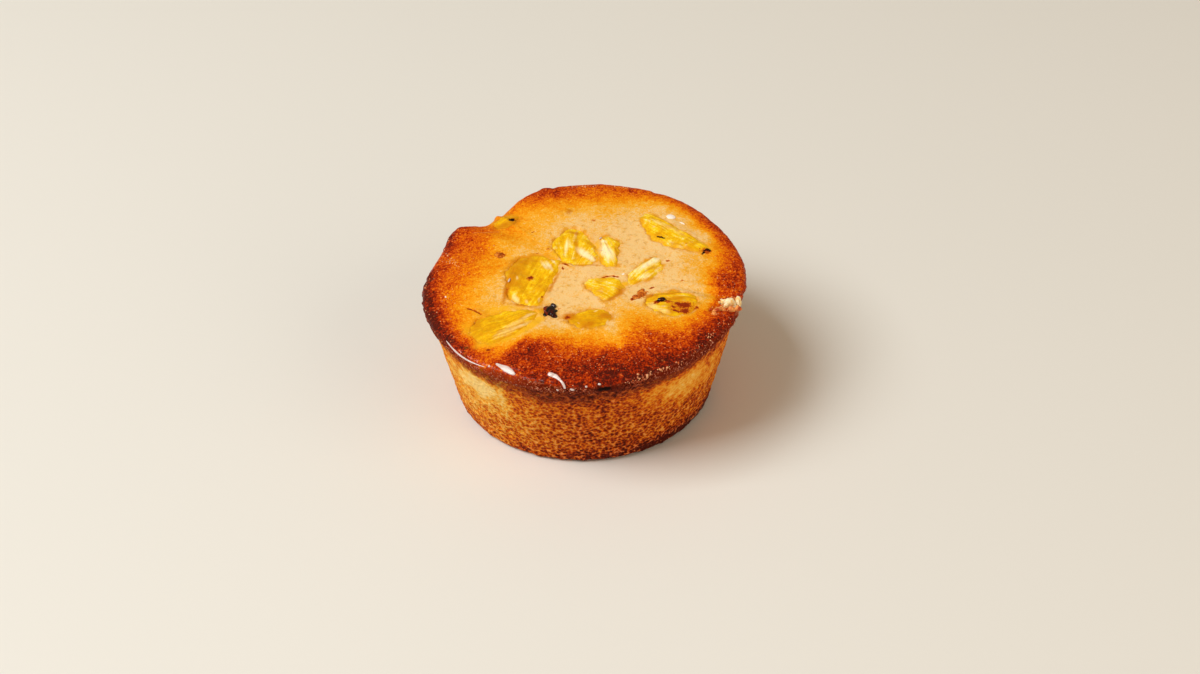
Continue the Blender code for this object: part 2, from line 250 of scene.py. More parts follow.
@dataclass(frozen=True)
class TartForm:
    """The tart's own form: a cone with a flat base, a lip round its top, and a low crown."""

    base_radius: float = 34.5
    base_rounding: float = 2.0
    rim_radius: float = 42.9
    crest_height: float = 34.7
    crest_inset: float = 2.6
    lean_to_right: float = 0.3
    lean_to_back: float = 0.5
    rise_to_right: float = 1.2
    rise_to_back: float = 1.7
    crown: float = 1.2
    # The lip's section: (in from the widest place, down from the crest), from the crest to the side.
    lip_section: tuple = (
        (2.6, 0.0), (1.2, 0.25), (0.35, 0.95), (0.0, 1.9), (0.25, 2.9), (0.95, 3.7), (1.6, 4.6),
    )
    # The way over the lip's face, from the crest to its foot.
    lip_run: float = 6.4
    wave_length: float = 9.0
    wave_height: float = 0.3
    dent_fade: float = 5.0
    dents: tuple = each(
        Dent,
        (127.5, 13.0, 4.3, 1.4), (147.0, 4.0, -0.6, -0.2), (162.0, 12.0, 2.0, 0.3), (28.0, 14.0, 0.6, 0.0),
        (-14.5, 3.0, 1.6, 1.2),
        # Sharper nicks and steps of the broken rim, finer than the solid shows.
        (134.8, 4.0, 1.6, 0.3), (127.4, 1.3, -0.9, -0.3), (143.0, 2.2, -0.6, -0.2), (104.4, 2.0, -0.7, 0.0),
        (101.0, 1.0, 0.3, 0.0), (-8.5, 1.4, 0.9, 0.4), (-15.5, 1.8, -0.7, 0.0), (-22.0, 1.6, 0.4, 0.2),
        (176.0, 1.8, 0.3, 0.1), (62.0, 1.4, 0.3, 0.1),
    )
    mounds: tuple = each(
        Mound,
        (-11.0, -28.0, 8.0, 1.3), (15.0, -25.0, 9.0, 1.0), (-31.0, 4.0, 9.0, 0.6), (24.0, 30.0, 6.0, 0.6),
    )

    def drawn_in(self, azimuth: float) -> float:
        """How far the dents draw the rim in at this azimuth."""
        return sum(d.inward * bell(degrees_apart(azimuth, d.azimuth), d.half_width) for d in self.dents)

    def rim(self, azimuth: float) -> float:
        """The tart's widest radius at this azimuth."""
        spot = round_point(azimuth, 1.0, 0.0)
        lean = self.lean_to_right * spot.x + self.lean_to_back * spot.y
        wave = self.wave_height * ripple(spot * self.rim_radius, self.wave_length)
        return self.rim_radius + lean + wave - self.drawn_in(azimuth)

    def crest(self, azimuth: float) -> float:
        """The height of the lip's crest at this azimuth."""
        spot = round_point(azimuth, 1.0, 0.0)
        drop = sum(d.drop * bell(degrees_apart(azimuth, d.azimuth), d.half_width) for d in self.dents)
        return self.crest_height + self.rise_to_right * spot.x + self.rise_to_back * spot.y - drop

    def top(self, x: float, y: float) -> float:
        """The height of the cake's top over a point."""
        azimuth = math.degrees(math.atan2(y, x))
        share = min(math.hypot(x, y) / (self.rim(azimuth) - self.crest_inset), 1.0)
        middle = self.crest_height + self.crown
        tilt = (self.rise_to_right * x + self.rise_to_back * y) / self.rim_radius
        height = middle + tilt + (self.crest(azimuth) - middle - tilt) * share**3
        for mound in self.mounds:
            height += mound.height * bell(math.hypot(x - mound.x, y - mound.y), mound.radius)
        wave = ripple(Vector((x, y, self.rim_radius)), self.wave_length)
        return height + self.wave_height * wave * (1.0 - share**6)

    def lip(self, azimuth: float, inset: float, drop: float) -> Vector:
        """A point of the lip, in from the widest place and down from the crest."""
        return round_point(azimuth, self.rim(azimuth) - inset, self.crest(azimuth) - drop)

    def side(self, azimuth: float, share: float) -> Vector:
        """A point of the side, from the rounding of the base, share 0, to the foot of the lip, share 1."""
        inset, drop = self.lip_section[-1]
        dent = self.drawn_in(azimuth)
        widening = self.rim(azimuth) + dent - inset - self.base_radius
        radius = self.base_radius + widening * share - dent * share**self.dent_fade
        height = self.base_rounding + (self.crest(azimuth) - drop - self.base_rounding) * share
        return round_point(azimuth, radius, height)

    def near_rim(self, azimuth: float, run: float) -> Vector:
        """A point of the crust, by its azimuth and its run out from the crest, or inwards below 0."""
        if run > 0.0:
            return self.lip(azimuth, *curve_point(self.lip_section, run / self.lip_run, closed=False))
        point = round_point(azimuth, self.rim(azimuth) - self.crest_inset + run, 0.0)
        point.z = self.top(point.x, point.y)
        return point

    def rounding(self, azimuth: float, share: float) -> Vector:
        """A point of the quarter circle from the side, share 0, to the flat base, share 1."""
        turn = share * math.pi / 2.0
        radius = self.base_radius - self.base_rounding * (1.0 - math.cos(turn))
        return round_point(azimuth, radius, self.base_rounding * (1.0 - math.sin(turn)))


FORM = TartForm()


# ---- The fruit's outlines, and the marks on the top ----


@dataclass(frozen=True)
class Wedge:
    """A piece of pineapple: its outline, how it rises, and how its fibres run.

    A fan above 0 is the distance, in millimetres, from its middle back to the place where its fibres meet.
    """

    corners: tuple
    lift: float
    crown: float
    ridge: float = 0.0
    heading: float = 0.0
    spread: float = 1.0
    depth: float = 8.0
    fan: float = 0.0
    # Paler and yellower above 0, deeper gold below it.
    paleness: float = 0.0


WEDGES = (
    Wedge(
        corners=(
            (-18, 7), (-13.5, 9), (-7, 7.2), (-6, 3.5), (-8.5, -5), (-11, -11.3),
            (-14.5, -12.3), (-18.5, -10), (-20.2, -3.5), (-20, 3),
        ),
        lift=0.4, crown=1.0, ridge=-0.5, heading=70.0, spread=3.0, fan=40.0, paleness=-0.05,
    ),
    Wedge(
        corners=(
            (-8.5, 12), (-6.5, 17), (-3.5, 20.5), (-0.5, 19.5), (2.5, 14), (3.7, 9),
            (3.4, 4.8), (-2.5, 4), (-5, 5.5),
        ),
        lift=0.3, crown=0.9, ridge=-0.8, heading=80.0, spread=3.5, fan=14.0, paleness=0.16,
    ),
    Wedge(
        corners=((4.8, 15), (7, 15.8), (9.8, 13), (9.4, 8), (9, 3.6), (6, 2.8), (4.7, 5), (5.2, 10)),
        lift=0.7, crown=0.7, heading=-75.0, fan=18.0, paleness=0.2,
    ),
    Wedge(
        corners=((16, 21), (18, 26), (23, 21.5), (29, 15.5), (33.8, 10), (33, 8.3), (25, 9.5), (19.5, 13.8)),
        lift=0.2, crown=0.4, ridge=1.2, heading=-43.0, spread=4.0, paleness=0.08,
    ),
    Wedge(
        corners=((12.3, -4.5), (13.2, 1), (17, 5), (19.7, 6.3), (21, 2.5), (19.5, -1.5), (15, -4.6)),
        lift=0.3, crown=0.4, ridge=0.8, heading=55.0, spread=3.0, paleness=0.28,
    ),
    Wedge(
        corners=((0.2, -4), (2, -2), (7, -1.7), (10.6, -4.5), (10.6, -7.5), (6, -11.5), (2, -8)),
        lift=0.2, crown=0.7, heading=-30.0, fan=25.0, paleness=0.2,
    ),
    Wedge(
        corners=((-4.5, -17.5), (-0.5, -16), (4, -14.6), (7, -16), (7.2, -19.3), (5, -22), (-1.5, -21.4)),
        lift=0.2, crown=0.5, heading=10.0, paleness=-0.15,
    ),
    Wedge(
        corners=(
            (-11.2, -15.5), (-13.5, -14), (-21, -14), (-28, -17), (-29, -21.5),
            (-26, -25.8), (-21, -25.4), (-14, -20.2),
        ),
        lift=0.0, crown=0.8, ridge=0.5, heading=20.0, spread=5.0, paleness=-0.2,
    ),
    Wedge(
        corners=((16, -13), (17.5, -9.5), (23, -8.6), (29, -9.5), (30, -14), (27, -17.8), (20, -17.5)),
        lift=0.3, crown=0.6, ridge=-0.5, heading=-8.0, spread=3.0,
    ),
    Wedge(
        corners=((-24, 25.8), (-23, 28.5), (-20.3, 30), (-17.7, 28), (-18.7, 25.2), (-21.5, 24)),
        lift=0.5, crown=0.6, depth=4.5, heading=20.0, paleness=-0.3,
    ),
)


class Tint(Enum):
    """What a mark on the top is."""

    GOLD = "gold"
    # Pale strands and crumb, and partly painted highlights where the wet fruit and crust glint.
    CREAM = "cream"
    AMBER = "amber"
    SCORCH = "scorch"
    CHAR = "char"


@dataclass(frozen=True)
class Mark:
    """A soft oval mark on the crust or on the fruit."""

    tint: Tint
    x: float
    y: float
    length: float
    width: float
    heading: float = 0.0
    strength: float = 1.0

    def strength_at(self, x: float, y: float) -> float:
        """How strong the mark is over a point."""
        if abs(x - self.x) > self.length or abs(y - self.y) > self.length:
            return 0.0
        along, across = turned(x - self.x, y - self.y, self.heading)
        return self.strength * bell(math.hypot(along / self.length, across / self.width), 0.5)



def marks(tint: Tint, *rows: tuple) -> tuple[Mark, ...]:
    """Marks of one tint, each from its x, y, length, width, heading and strength."""
    return each(Mark, *((tint, *row) for row in rows))


MARKS = (
    # The large wedge left of the middle: pale strands, partly painted wet highlights, an amber left side, a
    # spot and two holes.
    *marks(
        Tint.CREAM,
        (-10.1, 4.0, 6.0, 1.2, -70.0, 0.9), (-8.8, 3.8, 6.0, 1.1, -70.0, 1.0),
        (-7.7, 5.8, 3.4, 0.8, -68.0, 1.0), (-17.4, -9.2, 4.5, 1.8, -62.0, 0.8),
        (-14.6, -10.6, 2.6, 1.2, -70.0, 0.6), (-11.4, -10.2, 2.6, 1.0, -100.0, 0.6),
        (-17.2, -1.0, 2.6, 0.8, -80.0, 0.6),
    ),
    *marks(
        Tint.AMBER,
        (-17.6, 2.5, 12.0, 6.5, 80.0, 0.95), (-16.6, -4.4, 6.0, 3.0, -50.0, 0.6),
        (-14.0, 6.5, 7.0, 3.0, 0.0, 0.6), (-20.0, -6.0, 9.0, 1.6, 80.0, 1.1),
        (-15.6, -12.2, 8.0, 1.4, -18.0, 0.9), (-13.8, -1.3, 3.4, 3.0, 0.0, 0.6),
        (-12.6, -6.4, 5.0, 2.2, 60.0, 0.5), (-7.6, -3.4, 9.0, 1.1, 72.0, 0.8),
    ),
    *marks(
        Tint.SCORCH,
        (-19.9, -5.6, 4.0, 1.0, 80.0, 0.5), (-13.8, -1.3, 1.9, 1.6, 40.0),
        (-10.6, -8.9, 0.8, 0.6, 0.0, 0.9), (-5.2, 2.6, 1.2, 0.6, -70.0, 1.1),
        (-4.6, 4.2, 2.0, 0.7, -30.0, 1.0),
    ),
    *marks(Tint.GOLD, (-6.2, 9.4, 6.0, 4.0, 50.0)),
    # The two-lobed wedge behind the middle.
    *marks(
        Tint.AMBER,
        (-2.6, 18.2, 5.5, 1.8, -10.0, 0.9), (-1.6, 12.0, 12.0, 1.5, 88.0, 0.9),
        (-6.4, 12.8, 7.0, 2.0, 80.0, 0.6), (2.4, 12.2, 7.0, 1.5, -54.0, 0.8),
        (0.6, 3.9, 12.0, 1.0, -8.0, 0.8),
    ),
    *marks(
        Tint.CREAM,
        (-4.2, 12.2, 7.0, 1.5, 84.0, 0.9), (0.2, 8.8, 6.0, 2.0, -56.0, 0.9),
        (2.2, 6.6, 5.0, 1.6, -50.0, 0.8), (1.0, 9.4, 8.0, 5.0, -56.0, 0.35),
    ),
    *marks(Tint.GOLD, (4.2, 10.0, 10.0, 2.4, 88.0)),
    # The narrow upright piece right of it, with its pale marks painted as a wet highlight.
    *marks(
        Tint.CREAM,
        (6.3, 8.6, 7.0, 2.8, -66.0, 1.2), (5.6, 13.2, 2.4, 1.4, -40.0, 0.9),
        (6.8, 8.4, 10.0, 4.0, -72.0, 0.45),
    ),
    *marks(Tint.AMBER, (8.9, 9.0, 9.0, 1.1, 88.0, 0.7)),
    # The long curved slice at the back right.
    *marks(Tint.CREAM, (24.6, 17.4, 17.0, 2.2, -44.0, 0.5), (20.0, 20.6, 6.0, 1.8, -55.0, 0.35)),
    *marks(Tint.AMBER, (17.4, 19.6, 7.0, 1.6, 75.0, 0.6), (27.5, 10.2, 12.0, 1.2, -22.0, 0.6)),
    *marks(
        Tint.CHAR,
        (21.0, 14.2, 2.6, 0.8, -24.0), (32.2, 7.9, 2.0, 0.9, 65.0), (33.5, 8.8, 1.6, 1.1, -20.0),
    ),
    *marks(Tint.SCORCH, (27.6, 11.0, 1.2, 0.8, 0.0, 0.6), (32.9, 8.4, 3.0, 2.2, 0.0, 0.8)),
    # The small curved piece right of the middle.
    *marks(
        Tint.CREAM,
        (16.6, 2.0, 9.0, 2.0, 46.0, 0.9), (19.6, 4.6, 3.0, 1.6, 60.0, 0.8),
        (17.8, 2.4, 8.0, 3.6, 46.0, 0.35), (16.4, -2.4, 4.6, 2.0, 24.0, 0.8),
    ),
    *marks(
        Tint.AMBER,
        (17.6, 0.2, 7.0, 1.0, 40.0, 0.8), (16.0, 3.2, 8.0, 1.4, 45.0, 0.8),
        (12.8, -3.4, 3.0, 1.4, 80.0, 0.6),
    ),
    *marks(Tint.GOLD, (11.4, -4.8, 4.0, 2.4, 10.0)),
    # The triangular piece in the middle.
    *marks(Tint.CREAM, (4.6, -8.0, 4.0, 1.6, -28.0, 0.5)),
    *marks(Tint.AMBER, (9.6, -7.6, 4.5, 2.8, 80.0, 1.0), (7.8, -10.4, 4.5, 1.6, 40.0, 0.9)),
    # The flat piece at the front.
    *marks(
        Tint.AMBER,
        (2.0, -18.6, 16.0, 10.0, 5.0, 0.5), (6.0, -17.8, 3.6, 2.4, -30.0, 0.9),
        (1.6, -21.0, 3.6, 1.8, 20.0, 0.8), (-3.4, -17.4, 3.6, 3.0, 0.0, 0.9),
    ),
    *marks(
        Tint.CREAM,
        (3.4, -15.8, 1.8, 0.8, 30.0, 0.7), (-1.2, -20.2, 1.8, 0.7, -50.0, 0.6),
        (6.3, -20.4, 2.0, 0.9, 80.0, 0.8),
    ),
    *marks(Tint.SCORCH, (-3.9, -17.6, 1.8, 1.5, 30.0)),
    # The long wedge at the front left, its pale marks partly painted wet highlights.
    *marks(
        Tint.CREAM,
        (-17.4, -19.6, 11.0, 3.4, 28.0, 0.36), (-20.0, -22.8, 12.0, 3.0, 28.0, 0.42),
        (-15.0, -20.2, 6.0, 1.0, 36.0, 0.4), (-13.6, -16.6, 5.0, 1.2, 38.0, 0.5),
        (-10.4, -20.6, 9.0, 1.8, 38.0, 0.5),
    ),
    *marks(
        Tint.AMBER,
        (-24.6, -20.6, 5.0, 3.0, 20.0, 0.5), (-27.4, -18.6, 6.0, 3.2, 70.0, 0.9),
        (-22.0, -17.4, 4.0, 2.0, 10.0, 0.5),
    ),
    *marks(
        Tint.GOLD,
        (-20.5, -13.2, 16.0, 4.0, 4.0, 0.8), (-17.4, -23.2, 11.0, 2.8, 33.0, 1.1),
        (-12.6, -19.4, 9.0, 3.2, 48.0, 1.1), (-10.2, -14.6, 4.0, 2.4, 20.0, 0.9),
        (-29.6, -20.0, 7.0, 4.0, -70.0, 0.7), (-25.4, -26.4, 7.0, 3.0, 10.0, 0.7),
    ),
    *marks(Tint.SCORCH, (-24.2, -28.4, 1.4, 0.8, 10.0, 1.2)),
    # The burnt piece at the right.
    *marks(Tint.CHAR, (20.2, -12.2, 2.4, 1.3, 10.0, 1.2)),
    *marks(
        Tint.SCORCH,
        (19.4, -12.7, 2.6, 1.4, 20.0, 1.0), (22.2, -12.8, 1.6, 1.0, -15.0, 0.85),
        (24.6, -13.6, 1.8, 1.1, -30.0), (26.6, -13.8, 2.6, 1.9, 10.0, 1.1),
        (23.4, -15.0, 1.2, 0.7, -40.0, 0.9), (24.0, -16.3, 2.0, 0.8, -30.0, 0.9),
        (26.4, -16.4, 2.1, 1.6, -10.0, 1.1), (29.4, -15.2, 1.3, 1.3, 0.0, 0.7),
        (25.6, -14.8, 7.5, 4.4, -10.0, 0.34),
    ),
    *marks(
        Tint.AMBER,
        (25.4, -14.6, 8.0, 6.0, -8.0, 1.0), (23.5, -11.4, 11.0, 1.6, 4.0, 0.7),
        (23.5, -9.4, 11.0, 0.9, 8.0, 1.0),
    ),
    *marks(
        Tint.CREAM,
        (17.8, -14.0, 4.0, 3.4, 0.0, 0.6), (21.0, -16.6, 5.0, 2.0, -25.0, 0.6),
        (28.6, -16.4, 4.0, 1.6, 50.0, 0.5), (24.8, -10.2, 7.0, 1.4, 6.0, 0.4),
    ),
    # The small piece in the rim's dent.
    *marks(Tint.CHAR, (-19.2, 27.0, 1.9, 1.4, 10.0, 1.2)),
    *marks(Tint.AMBER, (-21.4, 25.0, 7.0, 3.0, 15.0, 1.0), (-18.4, 27.4, 3.0, 4.0, 0.0, 0.8)),
    # Small marks in the crust.
    # A painted highlight: a thin pale line where light glints along the crease by the dent.
    *marks(Tint.CREAM, (-26.4, 21.7, 9.0, 0.9, 2.0, 0.6)),
    *marks(
        Tint.SCORCH,
        (22.6, 4.6, 1.6, 1.0, -20.0, 0.8), (26.0, -3.8, 1.4, 0.7, 10.0, 0.6),
        (3.1, 23.5, 1.4, 1.0, 0.0, 0.65), (-9.2, 11.4, 1.2, 0.9, 0.0, 0.7),
        (-12.0, 9.8, 0.9, 0.7, 0.0, 0.7), (-8.1, 15.3, 1.0, 0.8, 0.0, 0.6),
        (-6.2, -14.0, 0.9, 0.7, 0.0, 0.7), (-13.4, 20.2, 1.2, 0.7, 0.0, 0.75),
        (14.4, 9.8, 1.0, 0.5, 0.0, 0.6), (18.1, -6.6, 1.6, 0.6, 25.0, 0.9),
        (15.6, -9.4, 4.6, 2.6, 40.0, 0.62), (13.4, -10.8, 2.6, 1.0, 35.0, 1.1),
        (-22.0, 10.1, 2.8, 2.4, -20.0, 1.0),
    ),
    *marks(
        Tint.AMBER,
        (-3.6, 28.3, 3.4, 2.2, 80.0, 0.9), (-8.8, -14.8, 6.0, 4.6, 100.0, 0.8),
        (17.8, -9.8, 4.0, 1.8, 0.0, 0.8), (-26.5, -13.0, 6.0, 2.0, -35.0, 0.6),
    ),
)


def tints_at(x: float, y: float) -> dict[Tint, float]:
    """How strongly each tint marks the top over a point."""
    return {
        tint: min(sum(mark.strength_at(x, y) for mark in MARKS if mark.tint is tint), 1.5)
        for tint in Tint
    }


class Outline:
    """A wedge's smooth closed outline, and how far a point lies outside it."""

    FINENESS = 160
    # The flesh swells out over the slit round its solid, and its edge is torn: (height, wave) of each wobble.
    SWELL = 0.35
    WOBBLES = ((0.8, 3.4), (0.5, 1.4))

    def __init__(self, wedge: Wedge) -> None:
        """Reads the outline off the wedge's corners, with a slight wobble."""
        plain = [curve_point(wedge.corners, k / self.FINENESS, closed=True) for k in range(self.FINENESS)]
        self.middle = sum(plain, Vector((0.0, 0.0))) / len(plain)
        self.points = []
        for point in plain:
            away = (point - self.middle).normalized()
            spot = Vector((*point, 0.0))
            shift = self.SWELL + sum(height * ripple(spot, wave) for height, wave in self.WOBBLES)
            self.points.append(point + away * shift)
        area = sum(self.points[k - 1].cross(self.points[k]) for k in range(self.FINENESS))
        self.outwards = []
        self.tree = KDTree(self.FINENESS)
        for k, point in enumerate(self.points):
            along = (self.points[(k + 1) % self.FINENESS] - self.points[k - 1]).normalized()
            self.outwards.append(Vector((along.y, -along.x)) * math.copysign(1.0, area))
            self.tree.insert((*point, 0.0), k)
        self.tree.balance()
        self.reach = max((point - self.middle).length for point in self.points)

    def at(self, share: float) -> Vector:
        """The outline's point at a share of its round."""
        start, part = divmod(share % 1.0 * self.FINENESS, 1.0)
        first = self.points[int(start) % self.FINENESS]
        return first.lerp(self.points[(int(start) + 1) % self.FINENESS], part)

    def outside(self, point: Vector) -> float:
        """How far a point lies outside the outline, or below 0 inside it."""
        _, index, _ = self.tree.find((*point, 0.0))
        return (point - self.points[index]).dot(self.outwards[index])


OUTLINES = tuple(Outline(wedge) for wedge in WEDGES)
# Past this distance a wedge has no hold on the batter round it.
OUTLINE_HOLD = 5.0


def outside_fruit(x: float, y: float) -> float:
    """How far a point lies outside the nearest wedge, below 0 inside one, and OUTLINE_HOLD far away."""
    point = Vector((x, y))
    nearest = OUTLINE_HOLD
    for outline in OUTLINES:
        if (point - outline.middle).length < outline.reach + OUTLINE_HOLD:
            nearest = min(nearest, outline.outside(point))
    return nearest

# ---- Finishes ----

# The sockets of a Mix node that mixes colours.
MIX_FACTOR = 0
MIX_BELOW = 6
MIX_ABOVE = 7
# What is burnt on top of the stains: the mark, its colour, and where that colour starts to show.
BURNS = (
    ("scorch", "#cc6a10", 1.06), ("scorch", "#8a2a08", 1.32),
    ("char", "#5a1606", 1.15), ("char", "#1a0a07", 1.32),
)
# How wide its edge is.
BURN_EDGE = 0.22


def clouds_of(size: float, where: object, detail: float, roughness: float) -> dict:
    """A noise's inputs, for clouds whose size is in millimetres."""
    return {"Vector": where, "Scale": 1.0 / (size * METRES), "Detail": detail, "Roughness": roughness}


def light(colour: str) -> tuple[float, float, float, float]:
    """A screen colour, as sRGB hex, turned to linear light with full cover."""
    channels = (int(colour[k:k + 2], 16) / 255.0 for k in (1, 3, 5))
    linear = (c / 12.92 if c <= 0.04045 else ((c + 0.055) / 1.055) ** 2.4 for c in channels)
    return (*linear, 1.0)


class NodeSketch:
    """A material under construction: its node tree, its shader and its coordinates."""

    def __init__(self, name: str) -> None:
        """Starts a material with a shader that nothing is linked to yet."""
        self.material = bpy.data.materials.new(name)
        self.material.use_nodes = True
        self.tree = self.material.node_tree
        self.shader = self.tree.nodes["Principled BSDF"]
        self.where = self.add("TexCoord").outputs["Object"]

    def add(self, kind: str, inputs: dict | Sequence = (), **settings: str | bool) -> bpy.types.Node:
        """Adds a node with its settings and links.

        Args:
            kind: The node's type.
            inputs: What its sockets take, by their names or numbers or in their order, as feed() says.
            settings: Values for the node's own properties.

        Returns:
            The node.
        """
        node = self.tree.nodes.new("ShaderNode" + kind)
        for name, value in settings.items():
            setattr(node, name, value)
        self.feed(node, inputs)
        return node

    def feed(self, node: bpy.types.Node, inputs: dict | Sequence) -> None:
        """Sets or links some of a node's sockets.

        Args:
            node: The node.
            inputs: For each socket a constant, an output to link, or a node whose first output is linked.
        """
        pairs = inputs.items() if isinstance(inputs, dict) else enumerate(inputs)
        for socket, value in pairs:
            if isinstance(value, bpy.types.Node):
                value = next(output for output in value.outputs if output.enabled)
            if isinstance(value, bpy.types.NodeSocket):
                self.tree.links.new(value, node.inputs[socket])
            else:
                node.inputs[socket].default_value = value

    def stops(self, ramp: bpy.types.Node, colours: Sequence[tuple[float, str]]) -> bpy.types.Node:
        """Sets a colour ramp's stops.

        Args:
            ramp: The colour ramp's node.
            colours: Each stop's place and its hex colour.

        Returns:
            The same node.
        """
        elements = ramp.color_ramp.elements
        while len(elements) < len(colours):
            elements.new(1.0)
        for element, (place, colour) in zip(elements, colours):
            element.position = place
            element.color = light(colour)
        return ramp

    def summed(self, start: object, *terms: tuple, clamp: bool = False) -> bpy.types.Node:
        """Adds patterns to a start, each times its weight.

        Args:
            start: A constant or a pattern.
            terms: Each pattern and its weight, which may be a pattern too.
            clamp: Whether the sum is held between 0 and 1.

        Returns:
            The last sum's node.
        """
        for pattern, weight in terms:
            start = self.add("Math", (pattern, weight, start), operation="MULTIPLY_ADD")
        start.use_clamp = clamp
        return start

    def stained(
        self, colour: object, stain: object, cover: object,
        low: float = 0.0, high: float = 1.0, most: float = 1.0,
    ) -> bpy.types.Node:
        """Lays one colour over another where a pattern is strong.

        Args:
            colour: The colour below, as a node or in linear light.
            stain: The colour on top, as a node or as sRGB hex.
            cover: The pattern.
            low: Its value where the stain begins.
            high: Its value where the stain is strongest.
            most: The stain's share there.

        Returns:
            The mixed colour's node.
        """
        share = self.add("MapRange", (cover, low, high, 0.0, most))
        stain = light(stain) if isinstance(stain, str) else stain
        return self.add("Mix", {MIX_FACTOR: share, MIX_BELOW: colour, MIX_ABOVE: stain}, data_type="RGBA")


@dataclass(frozen=True)
class BrownedCrust:
    """The top and the lip: batter browned in the oven, then brushed with syrup.

    Baking took the wet batter from pale beige through orange to dark red-brown towards the rim. To the eye
    that gives a mottled change of colour, with painted glints on some grains of sugar in the brown, under a
    thin shine at the rim.
    """

    name: str = "oven_browned_batter"
    browning: tuple = (
        (0.0, "#edc684"), (0.1, "#edb75e"), (0.2, "#efad30"), (0.35, "#ee990a"), (0.5, "#e67e04"),
        (0.62, "#d66104"), (0.73, "#c14302"), (0.83, "#a22a01"), (0.92, "#7a1902"), (1.0, "#4d1206"),
    )
    # The lip's outer face, from its pits to its paler grains.
    band: tuple = ((0.0, "#200603"), (0.3, "#4e1206"), (0.5, "#7a260c"), (0.7, "#b4532c"), (1.0, "#e8b29a"))
    # What stains the crust, in the order in which it is laid on. The cream is pale crumb, and partly painted
    # highlight.
    stains: tuple = (("juice", "#e0991c"), ("gold", "#efb21c"), ("amber", "#cc7c10"), ("cream", "#f7dfb0"))
    # Grains of flour, pebbles of the batter, blotches and freckles: their size in millimetres, and how far
    # they shift the browning.
    unrest: tuple = ((0.45, 1.0), (1.2, 0.54), (3.2, 0.36), (1.2, 0.0))
    freckle: str = "#b9843a"
    # The colour of the painted glint that is screened over the sugar grains.
    sugar: str = "#a4683c"
    sugar_size: float = 0.95

    def material(self) -> bpy.types.Material:
        """Makes the material.

        Returns:
            The material, which reads the crust's own attributes.
        """
        s = NodeSketch(self.name)
        names = ("browning", "band", "glaze", "juice", *(tint.value for tint in Tint))
        cover = {name: s.add("Attribute", attribute_name=name).outputs["Fac"] for name in names}
        grain, pebble, blotch, freckle = (
            s.add("TexNoise", clouds_of(size, s.where, 4.0, 0.6)) for size, _ in self.unrest
        )
        swings = [swing for _, swing in self.unrest]
        shift = s.summed(-0.5 * sum(swings), *zip((grain, pebble, blotch), swings))

        # Some cells hold a pale grain of sugar, and on the browned crust a painted glint is screened over
        # them.
        seeds = s.add("TexVoronoi", {"Vector": s.where, "Scale": 1.0 / (self.sugar_size * METRES)})
        chosen = s.add("MapRange", (seeds.outputs["Color"], 0.4, 0.8))
        crystal = s.add("MapRange", (seeds, 0.45, 0.1, 0.0, -0.16))
        hold = s.add("MapRange", (cover["browning"], 0.05, 0.5, 0.6, 1.0))
        level = s.summed(cover["browning"], (s.summed(shift, (chosen, crystal)), hold), clamp=True)
        ramp = s.stops(s.add("ValToRGB", (level,)), self.browning)
        painted_glint_cells = s.add("MapRange", (seeds, 0.36, 0.1, 0.0, 0.7))
        browned = s.add("MapRange", (cover["browning"], 0.25, 0.6))
        share = s.summed(0.0, (s.summed(0.0, (painted_glint_cells, chosen)), browned), clamp=True)
        lit = {MIX_FACTOR: share, MIX_BELOW: ramp, MIX_ABOVE: light(self.sugar)}
        colour = s.add("Mix", lit, data_type="RGBA", blend_type="SCREEN")

        # Juice from the fruit stains the pale batter beside it, with uneven edges.
        for name, stain in self.stains:
            colour = s.stained(colour, stain, s.summed(cover[name], (pebble, 0.7)), 0.56, 1.2, 0.95)

        # Freckles in the pale batter.
        spots = s.add("MapRange", (freckle, 0.56, 0.72, 0.0, 0.5))
        pale = s.add("MapRange", (cover["browning"], 0.45, 0.1))
        colour = s.stained(colour, self.freckle, s.summed(0.0, (spots, pale)))

        # The lip's outer face baked against the tin: matt, dark and grainy.
        rubble = s.summed(grain, (pebble, 0.6))
        tin = s.stops(s.add("ValToRGB", (s.add("MapRange", (rubble, 0.62, 1.02)),)), self.band)
        colour = s.stained(colour, tin, cover["band"])

        # Scorched and burnt specks have crisp ragged edges.
        for name, burn, start in BURNS:
            colour = s.stained(colour, burn, s.summed(cover[name], (rubble, 1.0)), start, start + BURN_EDGE)

        patchy = s.add("MapRange", (blotch, 0.35, 0.6, 0.4, 1.0))
        rugged = s.add("Math", (cover["band"], cover["browning"]), operation="MAXIMUM")
        relief = s.add("MapRange", (rugged, 0.0, 1.0, 0.4, 0.8))
        s.feed(s.shader, {
            "Base Color": colour,
            "Roughness": s.add("MapRange", (cover["glaze"], 0.0, 1.0, 0.8, 0.5)),
            "Coat Weight": s.summed(0.0, (cover["glaze"], patchy), clamp=True),
            "Coat Roughness": 0.1,
            "Coat IOR": 1.45,
            "IOR": 1.4,
            "Specular IOR Level": 0.08,
            "Normal": s.add("Bump", {"Height": rubble, "Strength": relief, "Distance": 0.0003}),
            "Subsurface Weight": 0.1,
            "Subsurface Radius": (1.0, 0.5, 0.2),
            "Subsurface Scale": 0.001,
        })
        return s.material


